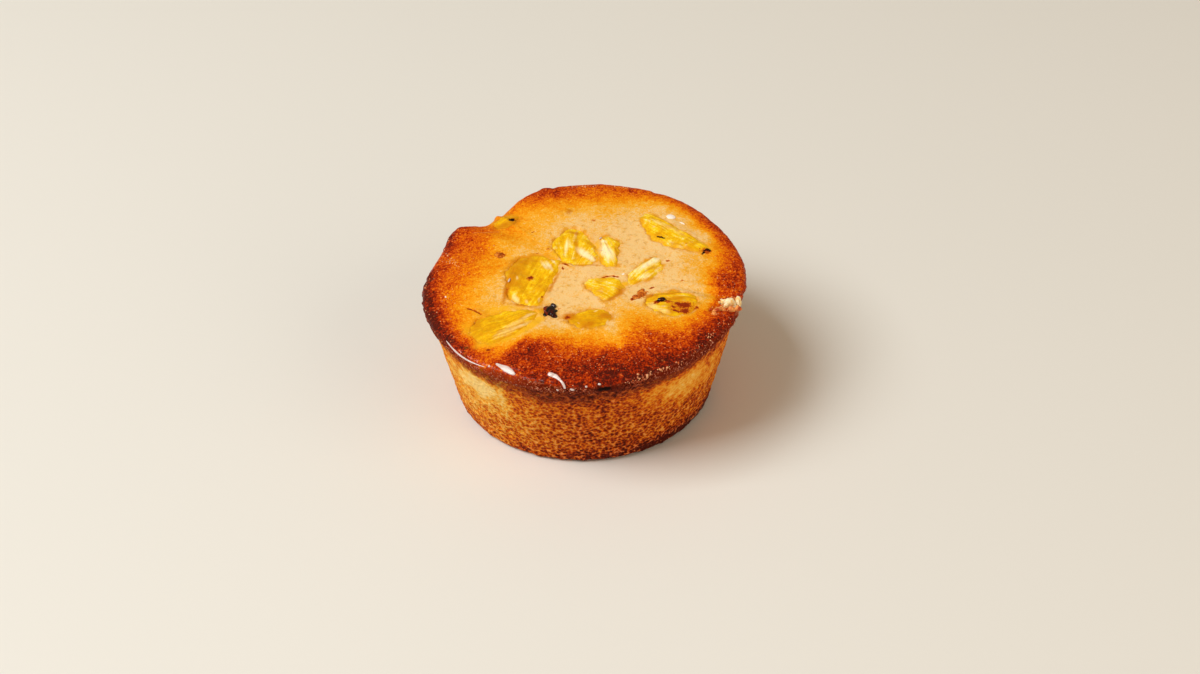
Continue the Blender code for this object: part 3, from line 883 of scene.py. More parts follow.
@dataclass(frozen=True)
class OpenCrumb:
    """The side: cake crumb that baked against a greased tin and came away from it.

    To the eye it is an orange-brown net round small dark pores, darker towards the base, with smooth pale
    patches where the batter had skinned over.
    """

    name: str = "open_cake_crumb"
    browning: tuple = (
        (0.0, "#f9d280"), (0.2, "#f3b648"), (0.38, "#ea9726"), (0.52, "#e17a0c"), (0.64, "#ce5c06"),
        (0.76, "#b04006"), (0.88, "#862806"), (1.0, "#521406"),
    )
    # How much browner a pore is painted, as shade in its hollow, and how much paler the net between the
    # pores, as painted light.
    pore_shade: float = 0.27
    net: float = 0.19
    glint: str = "#f6a468"
    band: tuple = ((0.35, "#380c04"), (0.5, "#74240a"), (0.66, "#be581e"))
    # The crumb's grain, its fine unevenness and its clouds, and how far apart its pores are, in millimetres.
    sizes: tuple = (0.6, 1.2, 3.0)
    pore_gap: float = 0.92
    # The batter rose against the tin, so that its pores lie flat: this much wider than high.
    flatness: float = 1.15

    def material(self) -> bpy.types.Material:
        """Makes the material.

        Returns:
            The material, which reads the side's own attributes.
        """
        s = NodeSketch(self.name)
        browning, pores, band, openness = (
            s.add("Attribute", attribute_name=name).outputs["Fac"]
            for name in ("browning", "pores", "band", "openness")
        )
        flat = s.add("VectorMath", (s.where, (1.0, 1.0, self.flatness)), operation="MULTIPLY")
        grain, fine, clouds = (s.add("TexNoise", clouds_of(size, flat, 3.0, 0.6)) for size in self.sizes)

        # The pores are painted dark as shade in their hollows, and the net between them paler as painted
        # light.
        swirl = s.add("TexNoise", {"Vector": flat, "Scale": 1.0 / METRES}).outputs["Color"]
        bent = s.add("VectorMath", (swirl, (0.5 * METRES,) * 3, flat), operation="MULTIPLY_ADD")
        cells = s.add("TexVoronoi", {"Vector": bent, "Scale": 1.0 / (self.pore_gap * METRES)})
        depth = s.add("MapRange", (cells, 0.2, 0.8, -1.0, -3.9))
        depth = s.summed(depth, (fine, 0.8), (grain, 2.4), (cells.outputs["Color"], 1.4))
        depth = s.summed(-0.15, (pores, 0.9), (depth, openness))
        pitted = s.add("MapRange", (depth, -1.5, 1.0, -self.net, self.pore_shade))
        level = s.summed(-0.25, (clouds, 0.5), (browning, 1.0), (pitted, 1.0), clamp=True)
        ramp = s.stops(s.add("ValToRGB", (level,)), self.browning)
        # Painted glints on the highest ridges of the net.
        colour = s.stained(ramp, self.glint, depth, -1.2, -2.0, 0.5)

        # Towards the lip the side is burnt, with a ragged edge.
        tin = s.stops(s.add("ValToRGB", (fine,)), self.band)
        colour = s.stained(colour, tin, s.summed(band, (fine, 1.2)), 0.8, 1.3, 0.95)
        height = s.summed(grain, (depth, -0.6))
        s.feed(s.shader, {
            "Base Color": colour,
            "Roughness": 0.7,
            "IOR": 1.45,
            "Specular IOR Level": 0.1,
            "Normal": s.add("Bump", {"Height": height, "Strength": 0.8, "Distance": 0.0003}),
            "Subsurface Weight": 0.08,
            "Subsurface Radius": (1.0, 0.5, 0.2),
            "Subsurface Scale": 0.001,
        })
        return s.material


@dataclass(frozen=True)
class PineappleFlesh:
    """Ripe pineapple, softened in the oven and wet with juice.

    To the eye it is a glowing yellow with pale fibre strands, amber where it thinned and browned, and wet.
    """

    name: str = "baked_pineapple"
    strands: tuple = (
        (0.0, "#d99c06"), (0.35, "#ecb408"), (0.6, "#f5c714"), (0.85, "#f9d64c"), (1.0, "#fce490"),
    )
    # What stains the flesh, in the order in which it is laid on: where it begins and where it is strongest.
    # The cream is pale strands, and partly painted wet highlights.
    stains: tuple = (
        ("edge", "#e29c16", 0.55, 1.25), ("amber", "#cc7f08", 0.6, 1.35), ("cream", "#fdeebc", 0.65, 1.45),
    )
    mottle: str = "#dc9208"
    # A strand's width and length, in millimetres.
    strand_width: float = 0.7
    strand_length: float = 9.0
    # The flesh's grain, its softened patches and its browned ones: size in millimetres, and detail.
    patches: tuple = ((0.5, 2.0), (1.8, 3.0), (3.2, 3.0))

    def material(self) -> bpy.types.Material:
        """Makes the material.

        Returns:
            The material, which reads the fruit's own attributes.
        """
        s = NodeSketch(self.name)
        names = ("across", "along", "paleness", "edge", *(tint.value for tint in Tint))
        cover = {name: s.add("Attribute", attribute_name=name).outputs["Fac"] for name in names}
        strand = s.add("CombineXYZ", [
            s.add("Math", (cover[name], size), operation="DIVIDE")
            for name, size in (("across", self.strand_width), ("along", self.strand_length))
        ])
        fibres = s.add("TexNoise", {
            "Vector": strand, "Scale": 1.0, "Detail": 3.0, "Roughness": 0.6, "Distortion": 0.3,
        })
        # The flesh softened unevenly, so that its fibres show through in places, and it browned in patches.
        grain, soft, clouds = (
            s.add("TexNoise", clouds_of(size, s.where, detail, 0.5)) for size, detail in self.patches
        )
        spread = s.add("MapRange", (s.summed(fibres, (soft, 0.8)), 0.65, 1.2))
        ripe = s.summed(-0.45, (grain, 0.9), (cover["paleness"], 1.0), (spread, 1.0), clamp=True)
        ramp = s.stops(s.add("ValToRGB", (ripe,)), self.strands)
        colour = s.stained(ramp, self.mottle, clouds, 0.52, 0.7, 0.6)
        for name, stain, low, high in self.stains:
            colour = s.stained(colour, stain, s.summed(cover[name], (fibres, 0.7)), low, high, 0.9)
        for name, burn, start in BURNS:
            colour = s.stained(colour, burn, s.summed(cover[name], (grain, 1.6)), start, start + BURN_EDGE)
        s.feed(s.shader, {
            "Base Color": colour,
            "Roughness": 0.4,
            "IOR": 1.4,
            "Specular IOR Level": 0.1,
            "Normal": s.add("Bump", {"Height": fibres, "Strength": 0.5, "Distance": 0.0002}),
            "Coat Weight": 0.06,
            "Coat Roughness": 0.12,
            "Subsurface Weight": 0.25,
            "Subsurface Radius": (1.0, 0.7, 0.15),
            "Subsurface Scale": 0.0015,
        })
        return s.material


@dataclass(frozen=True)
class CloudedFinish:
    """A finish whose colour drifts in soft clouds, over a fine relief."""

    name: str
    colours: tuple
    # For each colour after the first: where in the clouds it begins and is strongest, and its share there.
    levels: tuple = ((0.4, 0.6, 1.0),)
    # The clouds' size in millimetres, detail and roughness, and those of the relief's own pattern.
    clouds: tuple = (1.0, 3.0, 0.6)
    grains: tuple = ()
    relief: float = 0.0
    surface: tuple = ()

    def material(self) -> bpy.types.Material:
        """Makes the material.

        Returns:
            The material.
        """
        s = NodeSketch(self.name)
        patterns = [
            s.add("TexNoise", clouds_of(size, s.where, detail, roughness))
            for size, detail, roughness in (self.clouds, *self.grains)
        ]
        colour = light(self.colours[0])
        for stain, levels in zip(self.colours[1:], self.levels):
            colour = s.stained(colour, stain, patterns[0], *levels)
        s.feed(s.shader, {"Base Color": colour, **dict(self.surface)})
        if self.relief:
            bump = s.add("Bump", {"Height": patterns[-1], "Strength": self.relief, "Distance": 0.0002})
            s.feed(s.shader, {"Normal": bump})
        return s.material


@dataclass(frozen=True)
class BurntCaramel(CloudedFinish):
    """Sugar syrup that boiled out and burnt: black glass with a red-brown glow where it is thin."""

    name: str = "burnt_sugar_syrup"
    colours: tuple = ("#0a0302", "#5c1204")
    levels: tuple = ((0.5, 0.7, 0.8),)
    relief: float = 0.4
    surface: tuple = (("Roughness", 0.12), ("IOR", 1.5), ("Specular IOR Level", 0.35))


@dataclass(frozen=True)
class ToastedFlake(CloudedFinish):
    """Flakes of fruit and batter toasted brown, with paler torn edges."""

    name: str = "toasted_flake"
    colours: tuple = ("#6e1e04", "#c4600e", "#ee9c3a")
    levels: tuple = ((0.3, 0.5, 1.0), (0.5, 0.7, 1.0))
    clouds: tuple = (0.9, 3.0, 0.65)
    relief: float = 0.5
    surface: tuple = (("Roughness", 0.6), ("IOR", 1.45), ("Specular IOR Level", 0.2))


@dataclass(frozen=True)
class PaleCrumb(CloudedFinish):
    """Fresh cake crumb broken open: cream-coloured, matt and spongy."""

    name: str = "broken_cake_crumb"
    colours: tuple = ("#fdf0ca", "#f3c878")
    clouds: tuple = (1.4, 3.0, 0.6)
    grains: tuple = ((0.35, 2.0, 0.6),)
    relief: float = 0.6
    surface: tuple = (
        ("Roughness", 0.8), ("IOR", 1.45),
        ("Subsurface Weight", 0.2), ("Subsurface Radius", (1.0, 0.7, 0.4)), ("Subsurface Scale", 0.001),
    )


@dataclass(frozen=True)
class SugarGrain(CloudedFinish):
    """Grains of sugar set in caramelised syrup along the rim: small amber crystals with a bright glint."""

    name: str = "caramelised_sugar"
    colours: tuple = ("#b4521c", "#f2b47c")
    clouds: tuple = (2.0, 2.0, 0.5)
    surface: tuple = (("Roughness", 0.35), ("IOR", 1.54), ("Coat Weight", 0.15), ("Coat Roughness", 0.1))


@dataclass(frozen=True)
class PaintedHighlightSyrup(CloudedFinish):
    """Sugar syrup in thick drips, painted greyish white as the highlight of light on it: glossy and crisp
    against the brown.
    """

    name: str = "painted_highlight_syrup"
    colours: tuple = ("#e4d8d6", "#c9aea6")
    levels: tuple = ((0.0, 1.0, 1.0),)
    clouds: tuple = (1.5, 2.0, 0.5)
    surface: tuple = (("Roughness", 0.25), ("IOR", 1.49), ("Coat Weight", 0.15), ("Coat Roughness", 0.05))


# ---- Pieces ----


@dataclass(frozen=True)
class Ring:
    """Values that change smoothly round the tart, in rows of an azimuth and its values."""

    rows: tuple

    def values(self, azimuth: float) -> list[float]:
        """The values at an azimuth."""
        azimuth %= 360.0
        for k, after in enumerate(self.rows):
            if after[0] > azimuth:
                break
        else:
            k, after = 0, self.rows[0]
        before = self.rows[k - 1]
        share = smooth_step(0.0, (after[0] - before[0]) % 360.0, (azimuth - before[0]) % 360.0)
        return [mixed(low, high, share) for low, high in zip(before[1:], after[1:])]

    def at(self, azimuth: float) -> float:
        """The first of the values at an azimuth."""
        return self.values(azimuth)[0]


# How dark the lip's outer face is: darkest at the front.
LIP_DARKNESS = Ring((
    (0.0, 0.6), (60.0, 0.5), (120.0, 0.5), (175.0, 0.6), (220.0, 0.55), (234.0, 0.6), (246.0, 0.5),
    (254.0, 0.82), (264.0, 0.95), (274.0, 1.0), (288.0, 1.0), (297.0, 0.7), (330.0, 0.75),
))
# How far below the crest its dark face starts, and how far below the lip it fades out, in millimetres.
LIP_START = Ring((
    (0.0, 1.6), (200.0, 1.5), (232.0, 1.2), (242.0, 0.8), (252.0, 0.9), (264.0, 1.5), (277.0, 1.6),
    (290.0, 1.4), (302.0, 0.9), (322.0, 0.9), (340.0, 1.5),
))
LIP_REACH = Ring((
    (0.0, 2.5), (200.0, 3.0), (226.0, 5.0), (238.0, 7.0), (250.0, 8.0), (264.0, 7.0), (284.0, 5.4),
    (300.0, 3.4), (330.0, 3.0),
))
# How much its edge shines.
LIP_SHINE = Ring((
    (0.0, 0.2), (60.0, 0.35), (85.0, 0.6), (112.0, 0.3), (190.0, 0.3), (213.0, 0.35), (230.0, 0.35),
    (238.0, 0.2), (285.0, 0.25), (300.0, 0.3),
))


@dataclass(frozen=True)
class Groove:
    """A crack or a crease in the crust, along three points, and how scorched it is."""

    path: tuple
    half_width: float
    depth: float
    scorch: float = 0.0


@dataclass
class Crust:
    """The cake's browned top with its lip, down to the lip's foot."""

    form: TartForm
    finish: BrownedCrust
    cells: int = 236
    lip_rows: int = 28
    # The crust's hidden underside: (in from the widest place, down from the crest).
    tuck: tuple = ((2.1, 5.0), (3.2, 5.3))
    # Batter stands in a low bank round each wedge and dips below it.
    bank_height: float = 0.15
    bank_width: float = 1.5
    fruit_dip: float = 2.4
    # The batter's edge wanders over the fruit: (distance, wave).
    overlaps: tuple = ((0.55, 2.2), (0.3, 0.9))
    edge_width: float = 3.8
    half_browned: float = 0.4
    # How the crust browned round the tart: how far in from the rim it is half browned, how dark it is there,
    # how much darker the last few millimetres are, and how suddenly the browning ends.
    rims: Ring = Ring((
        (0.0, 10.0, 0.8, 0.0, 4.0), (12.0, 7.0, 0.78, 0.0, 2.4), (24.0, 4.6, 0.7, 0.12, 5.0),
        (36.0, 5.2, 0.66, 0.14, 5.0), (48.0, 5.0, 0.62, 0.14, 4.0), (62.0, 6.4, 0.64, 0.08, 3.0),
        (76.0, 9.8, 0.62, 0.06, 3.0), (90.0, 10.6, 0.65, 0.08, 4.0), (105.0, 11.4, 0.78, 0.06, 3.0),
        (120.0, 5.5, 0.5, 0.1, 1.8), (131.0, 9.5, 0.5, 0.0, 2.0), (142.0, 14.0, 0.64, 0.22, 3.0),
        (152.0, 15.6, 0.66, 0.26, 4.0), (164.0, 16.5, 0.64, 0.1, 3.2), (176.0, 16.0, 0.62, 0.36, 4.0),
        (188.0, 11.8, 0.63, 0.42, 3.0), (200.0, 9.6, 0.63, 0.44, 3.4), (212.0, 9.6, 0.56, 0.44, 2.8),
        (224.0, 6.6, 0.6, 0.24, 3.0), (233.0, 7.4, 0.58, 0.14, 2.8), (241.0, 14.6, 0.85, 0.0, 9.0),
        (248.0, 15.8, 0.86, 0.0, 8.0), (256.0, 16.0, 0.86, 0.0, 6.0), (264.0, 15.8, 0.9, 0.0, 4.6),
        (272.0, 15.8, 0.91, 0.0, 4.6), (280.0, 15.8, 0.97, 0.0, 5.0), (288.0, 12.8, 0.9, 0.08, 6.0),
        (296.0, 16.4, 0.85, 0.12, 3.4), (304.0, 18.6, 0.83, 0.14, 4.5), (312.0, 13.6, 0.74, 0.24, 2.6),
        (320.0, 10.6, 0.78, 0.22, 4.0), (328.0, 8.4, 0.8, 0.1, 4.0), (345.0, 6.8, 0.76, 0.0, 4.0),
        (353.0, 9.2, 0.8, 0.0, 6.0),
    ))
    grooves: tuple = each(
        Groove,
        (((-29.8, -11.4), (-28.2, -12.4), (-26.4, -14.2)), 0.35, 0.45, 0.8),
        (((-31.0, 21.2), (-25.5, 22.3), (-20.5, 23.2)), 0.5, 0.35, 0.0),
        (((5.2, -1.9), (6.8, -1.3), (9.4, -1.9)), 0.3, 0.4, 0.9),
        (((42.0, -9.6), (38.5, -12.0), (33.4, -15.6)), 0.9, 0.8, 0.0),
    )
    groove_reach: float = 9.0
    groove_steps: int = 14
    # A burnt place in the lip's face: its azimuth, how far below the crest, its half width and half height.
    burn: tuple = (277.0, 2.6, 2.0, 0.7)
    # The charred stretch of the lip's face: its azimuth, its half width and its strength.
    soot: tuple = (280.0, 12.0, 0.45)
    # The crack in the rim at the right shows pale crumb.
    crack: Mark = Mark(Tint.CREAM, 38.6, -12.4, 6.0, 2.6, heading=33.0, strength=0.9)

    def browning_at(self, x: float, y: float) -> float:
        """How brown the crust is over a point.

        Args:
            x: The point's X.
            y: The point's Y.

        Returns:
            The browning, from 0, pale, to 1, nearly black.
        """
        azimuth = math.degrees(math.atan2(y, x))
        width, level, edge, sharpness = self.rims.values(azimuth)
        spot = Vector((x, y, 0.0))
        inside = self.form.rim(azimuth) - math.hypot(x, y)
        wander = 1.6 * ripple(spot, 6.5, 3.0) + 0.6 * ripple(spot, 2.4, 5.0)
        depth = max(inside + wander * smooth_step(0.0, 6.0, inside), 0.0) / width
        brown = level / (1.0 + (level / self.half_browned - 1.0) * depth**sharpness)
        brown += edge * bell(inside, self.edge_width)
        return brown + 0.06 * ripple(spot, 4.0, 7.0) + 0.04 * ripple(spot, 1.8, 9.0)

    def groove_cut(self, x: float, y: float) -> tuple[float, float]:
        """How deep the grooves are over a point, and how scorched.

        Args:
            x: The point's X.
            y: The point's Y.

        Returns:
            The depth in millimetres, and the scorching from 0 to 1.
        """
        depth = scorch = 0.0
        spot = Vector((x, y))
        shares = [k / self.groove_steps for k in range(self.groove_steps + 1)]
        for groove in self.grooves:
            if (spot - Vector(groove.path[1])).length < self.groove_reach:
                near = min((spot - curve_point(groove.path, share, closed=False)).length for share in shares)
                depth = max(depth, groove.depth * bell(near, groove.half_width))
                scorch = max(scorch, groove.scorch * bell(near, groove.half_width))
        return depth, scorch

    def build(self) -> bpy.types.Object:
        """Models the crust and dresses it.

        Returns:
            The piece.
        """
        bm = bmesh.new()
        bmesh.ops.create_grid(bm, x_segments=self.cells, y_segments=self.cells, size=1.0)
        names = ("azimuth", "rim", "crest", "browning", "band", "juice", "glaze")
        layers = {name: bm.verts.layers.float.new(name) for name in (*names, *(tint.value for tint in Tint))}
        for corner in bm.verts:
            x, y = in_disc(corner)
            azimuth = math.degrees(math.atan2(y, x))
            corner[layers["azimuth"]] = azimuth
            corner[layers["rim"]] = self.form.rim(azimuth)
            corner[layers["crest"]] = self.form.crest(azimuth)
            radius = corner[layers["rim"]] - self.form.crest_inset
            corner.co = self.top_point(x * radius, y * radius, corner, layers)

        def hung(corner: bmesh.types.BMVert) -> Vector:
            """The lip's point below a corner, after the step in hand."""
            azimuth, rim, crest = (corner[layers[name]] for name in ("azimuth", "rim", "crest"))
            return round_point(azimuth, rim - inset, crest - drop)

        ring = [edge for edge in bm.edges if edge.is_boundary]
        shares = [(row + 1) / self.lip_rows for row in range(self.lip_rows)]
        steps = [curve_point(self.form.lip_section, share, closed=False) for share in shares]
        for inset, drop in (*steps, *self.tuck):
            ring = extended(bm, ring, hung)
        self.shade_lip(bm, layers)
        self.roughen(bm, layers)
        item = finished_object(bm, "browned_crust", self.finish.material())
        return registered(item, CRUMB_SLOT, "tart_body")

    def top_point(self, x: float, y: float, corner: bmesh.types.BMVert, layers: dict) -> Vector:
        """Where the top lies over a point, with its attributes set on the corner.

        Args:
            x: The point's X.
            y: The point's Y.
            corner: The corner that will lie there.
            layers: The corner's attributes.

        Returns:
            The point of the top.
        """
        spot = Vector((x, y, 0.0))
        outside = outside_fruit(x, y) + sum(far * ripple(spot, wave, 12.0) for far, wave in self.overlaps)
        bank = self.bank_height * (0.8 + 1.8 * ripple(spot, 2.6, 11.0))
        height = self.form.top(x, y) + bank * bell(max(outside, 0.0), self.bank_width)
        height -= self.fruit_dip * smooth_step(0.3, 1.7, -outside)
        cut, scorch = self.groove_cut(x, y)
        for tint, strength in tints_at(x, y).items():
            corner[layers[tint.value]] = strength
        corner[layers["scorch"]] += scorch
        pale = self.crack.strength_at(x, y)
        corner[layers["cream"]] = corner[layers["cream"]] * 0.6 + pale
        corner[layers["browning"]] = self.browning_at(x, y)
        patchy = 0.6 + 0.9 * ripple(spot, 2.8, 12.5)
        corner[layers["juice"]] = patchy * bell(max(outside + 0.6, 0.0), 1.2) * (1.0 - pale)
        corner[layers["glaze"]] = 0.02 + 0.14 * smooth_step(0.45, 0.85, corner[layers["browning"]])
        return Vector((x, y, height - cut))

    def shade_lip(self, bm: bmesh.types.BMesh, layers: dict) -> None:
        """Sets the attributes of the lip's outer face.

        Args:
            bm: The crust.
            layers: The corners' attributes.
        """
        for corner in bm.verts:
            drop = corner[layers["crest"]] - corner.co.z
            inset = corner[layers["rim"]] - math.hypot(corner.co.x, corner.co.y)
            if inset > self.form.crest_inset - 0.01 or drop < 0.05:
                continue
            azimuth = corner[layers["azimuth"]]
            ragged = 0.5 * ripple(corner.co, 4.0, 13.0) + 0.3 * ripple(corner.co, 1.5, 14.0)
            below = drop + ragged - LIP_START.at(azimuth)
            corner[layers["band"]] = LIP_DARKNESS.at(azimuth) * smooth_step(-0.3, 0.3, below)
            corner[layers["browning"]] = self.browning_at(corner.co.x, corner.co.y)
            corner[layers["glaze"]] = LIP_SHINE.at(azimuth) * smooth_step(0.2, -0.3, below)
            middle, fall, half_width, half_height = self.burn
            burnt = math.hypot(degrees_apart(azimuth, middle) / half_width, (drop - fall) / half_height)
            middle, half_width, strength = self.soot
            sooty = strength * corner[layers["band"]] * bell(degrees_apart(azimuth, middle), half_width)
            corner[layers["char"]] = bell(burnt, 1.0) + sooty

    def roughen(self, bm: bmesh.types.BMesh, layers: dict) -> None:
        """Moves the surface in and out a little, more where it is browned and on the lip.

        Args:
            bm: The crust.
            layers: The corners' attributes.
        """
        bm.normal_update()
        for corner in bm.verts:
            brown = min(max(corner[layers["browning"]], 0.0), 1.0)
            band = corner[layers["band"]]
            spot = corner.co
            wave = 0.12 * ripple(spot, 4.0, 17.0)
            wave += (0.03 + 0.08 * brown + 0.25 * band) * ripple(spot, 1.3, 19.0)
            wave += (0.01 + 0.03 * brown + 0.2 * band) * ripple(spot, 0.65, 23.0)
            corner.co = spot + corner.normal * wave


@dataclass(frozen=True)
class SmoothPatch:
    """A pale patch of the side where the batter skinned over: its azimuth and height, and its half widths."""

    azimuth: float
    height: float
    turn: float
    rise: float
    strength: float


@dataclass
class CrumbSide:
    """The cake's side, from under the lip down to the flat base."""

    form: TartForm
    finish: OpenCrumb
    columns: int = 900
    rows: int = 90
    rounding_rows: int = 6
    hidden_top: tuple = (1.9, 3.9)
    base_inset: float = 6.0
    # Pores: how far apart, how wide as a share of that, and how deep, in millimetres.
    pore_gap: float = 1.7
    pore_width: float = 0.55
    pore_depth: float = 0.2
    craters: int = 70
    crater_size: tuple = (0.4, 1.0)
    patches: tuple = each(
        SmoothPatch,
        (226.0, 21.5, 11.0, 6.5, 0.62), (212.0, 17.0, 11.0, 9.0, 0.22), (312.0, 23.5, 18.0, 6.5, 0.42),
        (62.0, 22.0, 16.0, 5.0, 0.45), (132.0, 20.0, 12.0, 6.0, 0.4),
    )
    # How much browner it is down at the base.
    scorched: Ring = Ring((
        (0.0, 0.3), (60.0, 0.2), (200.0, 0.12), (270.0, 0.17), (288.0, 0.3), (302.0, 0.55), (335.0, 0.55),
    ))
    # How brown the side is at mid height, round the tart.
    browned: Ring = Ring((
        (0.0, 0.5), (70.0, 0.48), (140.0, 0.5), (200.0, 0.47), (235.0, 0.45), (270.0, 0.66), (310.0, 0.62),
    ))

    def build(self) -> bpy.types.Object:
        """Models the side and dresses it.

        Returns:
            The piece.
        """
        bm = bmesh.new()
        bmesh.ops.create_circle(bm, segments=self.columns, radius=1.0)
        names = ("azimuth", "browning", "pores", "band", "openness")
        layers = {name: bm.verts.layers.float.new(name) for name in names}
        turn = layers["azimuth"]
        for corner in bm.verts:
            corner[turn] = math.degrees(math.atan2(corner.co.y, corner.co.x))
            corner.co = self.form.lip(corner[turn], *self.hidden_top)
        ring = bm.edges[:]
        for step in range(self.rows + 1):
            share = 1.0 - step / self.rows
            ring = extended(bm, ring, lambda corner: self.form.side(corner[turn], share))
        for step in range(self.rounding_rows):
            share = (step + 1) / self.rounding_rows
            ring = extended(bm, ring, lambda corner: self.form.rounding(corner[turn], share))
        inset = 1.0 - self.base_inset / self.form.base_radius
        extended(bm, ring, lambda corner: Vector((corner.co.x * inset, corner.co.y * inset, 0.0)))
        bmesh.ops.holes_fill(bm, edges=bm.edges, sides=0)
        bmesh.ops.recalc_face_normals(bm, faces=bm.faces)
        self.open_pores(bm, layers)
        item = finished_object(bm, "crumb_side", self.finish.material())
        return registered(item, CRUMB_SLOT, "tart_body")

    def patch_cover(self, azimuth: float, height: float, wander: float) -> float:
        """How much of a smooth patch covers a place of the side.

        Args:
            azimuth: The place's azimuth.
            height: Its height.
            wander: Makes the patches' edges uneven.

        Returns:
            The cover, from 0 to 1.
        """
        cover = 0.0
        for patch in self.patches:
            turn = degrees_apart(azimuth, patch.azimuth) / patch.turn
            rise = (height - patch.height) / patch.rise
            distance = math.hypot(turn, rise) + 0.5 * wander
            cover = max(cover, patch.strength * smooth_step(1.6, 0.1, distance))
        return cover

    def pore_at(self, spot: Vector) -> float:
        """How deep the crumb is pitted at a place, from -1, on the net between the pores, to 1, in a pore."""
        flat = Vector((spot.x, spot.y, self.finish.flatness * spot.z))
        bent = flat + 0.5 * noise.noise_vector(flat / 1.5)
        nearest = noise.voronoi(bent / self.pore_gap)[0][0]
        width = self.pore_width * (0.8 + 0.6 * ripple(spot, 3.0, 29.0))
        return max(1.0 - nearest / width, -1.0)

    def scattered_craters(self) -> tuple[KDTree, list]:
        """Draws the places of the larger holes in the side.

        Returns:
            A tree to find the nearest hole with, and each hole's half width.
        """
        draw = random.Random(23)
        tree = KDTree(self.craters)
        sizes = []
        for k in range(self.craters):
            seat = self.form.side(draw.uniform(0.0, 360.0), draw.uniform(0.0, 0.75))
            seat.z *= 2.0
            tree.insert(seat, k)
            sizes.append(draw.uniform(*self.crater_size))
        tree.balance()
        return tree, sizes

    def open_pores(self, bm: bmesh.types.BMesh, layers: dict) -> None:
        """Pits the side with pores and sets its attributes.

        Args:
            bm: The side.
            layers: The corners' attributes.
        """
        bm.normal_update()
        craters, sizes = self.scattered_craters()
        for corner in bm.verts:
            spot = corner.co.copy()
            azimuth, height = corner[layers["azimuth"]] % 360.0, spot.z
            foot = self.form.crest(azimuth) - self.form.lip_section[-1][1]
            wander = ripple(spot, 5.0, 31.0) + 0.7 * ripple(spot, 1.8, 37.0)
            cover = self.patch_cover(azimuth, height, wander) * smooth_step(0.5, 4.5, foot - height)
            openness = max(1.0 - 1.5 * cover, 0.5) * (0.8 + 0.2 * smooth_step(22.0, 8.0, height))
            _, index, distance = craters.find((spot.x, spot.y, 2.0 * spot.z))
            crater = bell(distance, sizes[index]) * openness
            pore = self.pore_at(spot) * openness
            pore = max(pore, 1.3 * crater)
            corner[layers["pores"]] = pore
            corner[layers["openness"]] = openness
            brown = self.browned.at(azimuth) - cover + 0.06 * wander
            brown += self.scorched.at(azimuth) * smooth_step(8.0, 0.5, height)
            # Browner just under the lip: painted shade below its overhang.
            corner[layers["browning"]] = brown + 0.13 * smooth_step(7.0, 0.0, foot - height)
            flat = Vector((spot.x, spot.y, 2.5 * height))
            ragged = foot - height + 1.8 * ripple(flat, 2.5, 35.0) + 1.4 * ripple(flat, 1.0, 36.0)
            fade = smooth_step(0.8, 0.3, ragged / LIP_REACH.at(azimuth))
            corner[layers["band"]] = 0.95 * LIP_DARKNESS.at(azimuth) * fade
            if height < 0.02:
                continue
            wave = 0.2 * ripple(spot, 3.0, 41.0) + 0.2 * openness * ripple(spot, 1.4, 43.0)
            corner.co = spot + corner.normal * (wave - self.pore_depth * (pore + crater))
            corner.co.z = max(corner.co.z, 0.0)


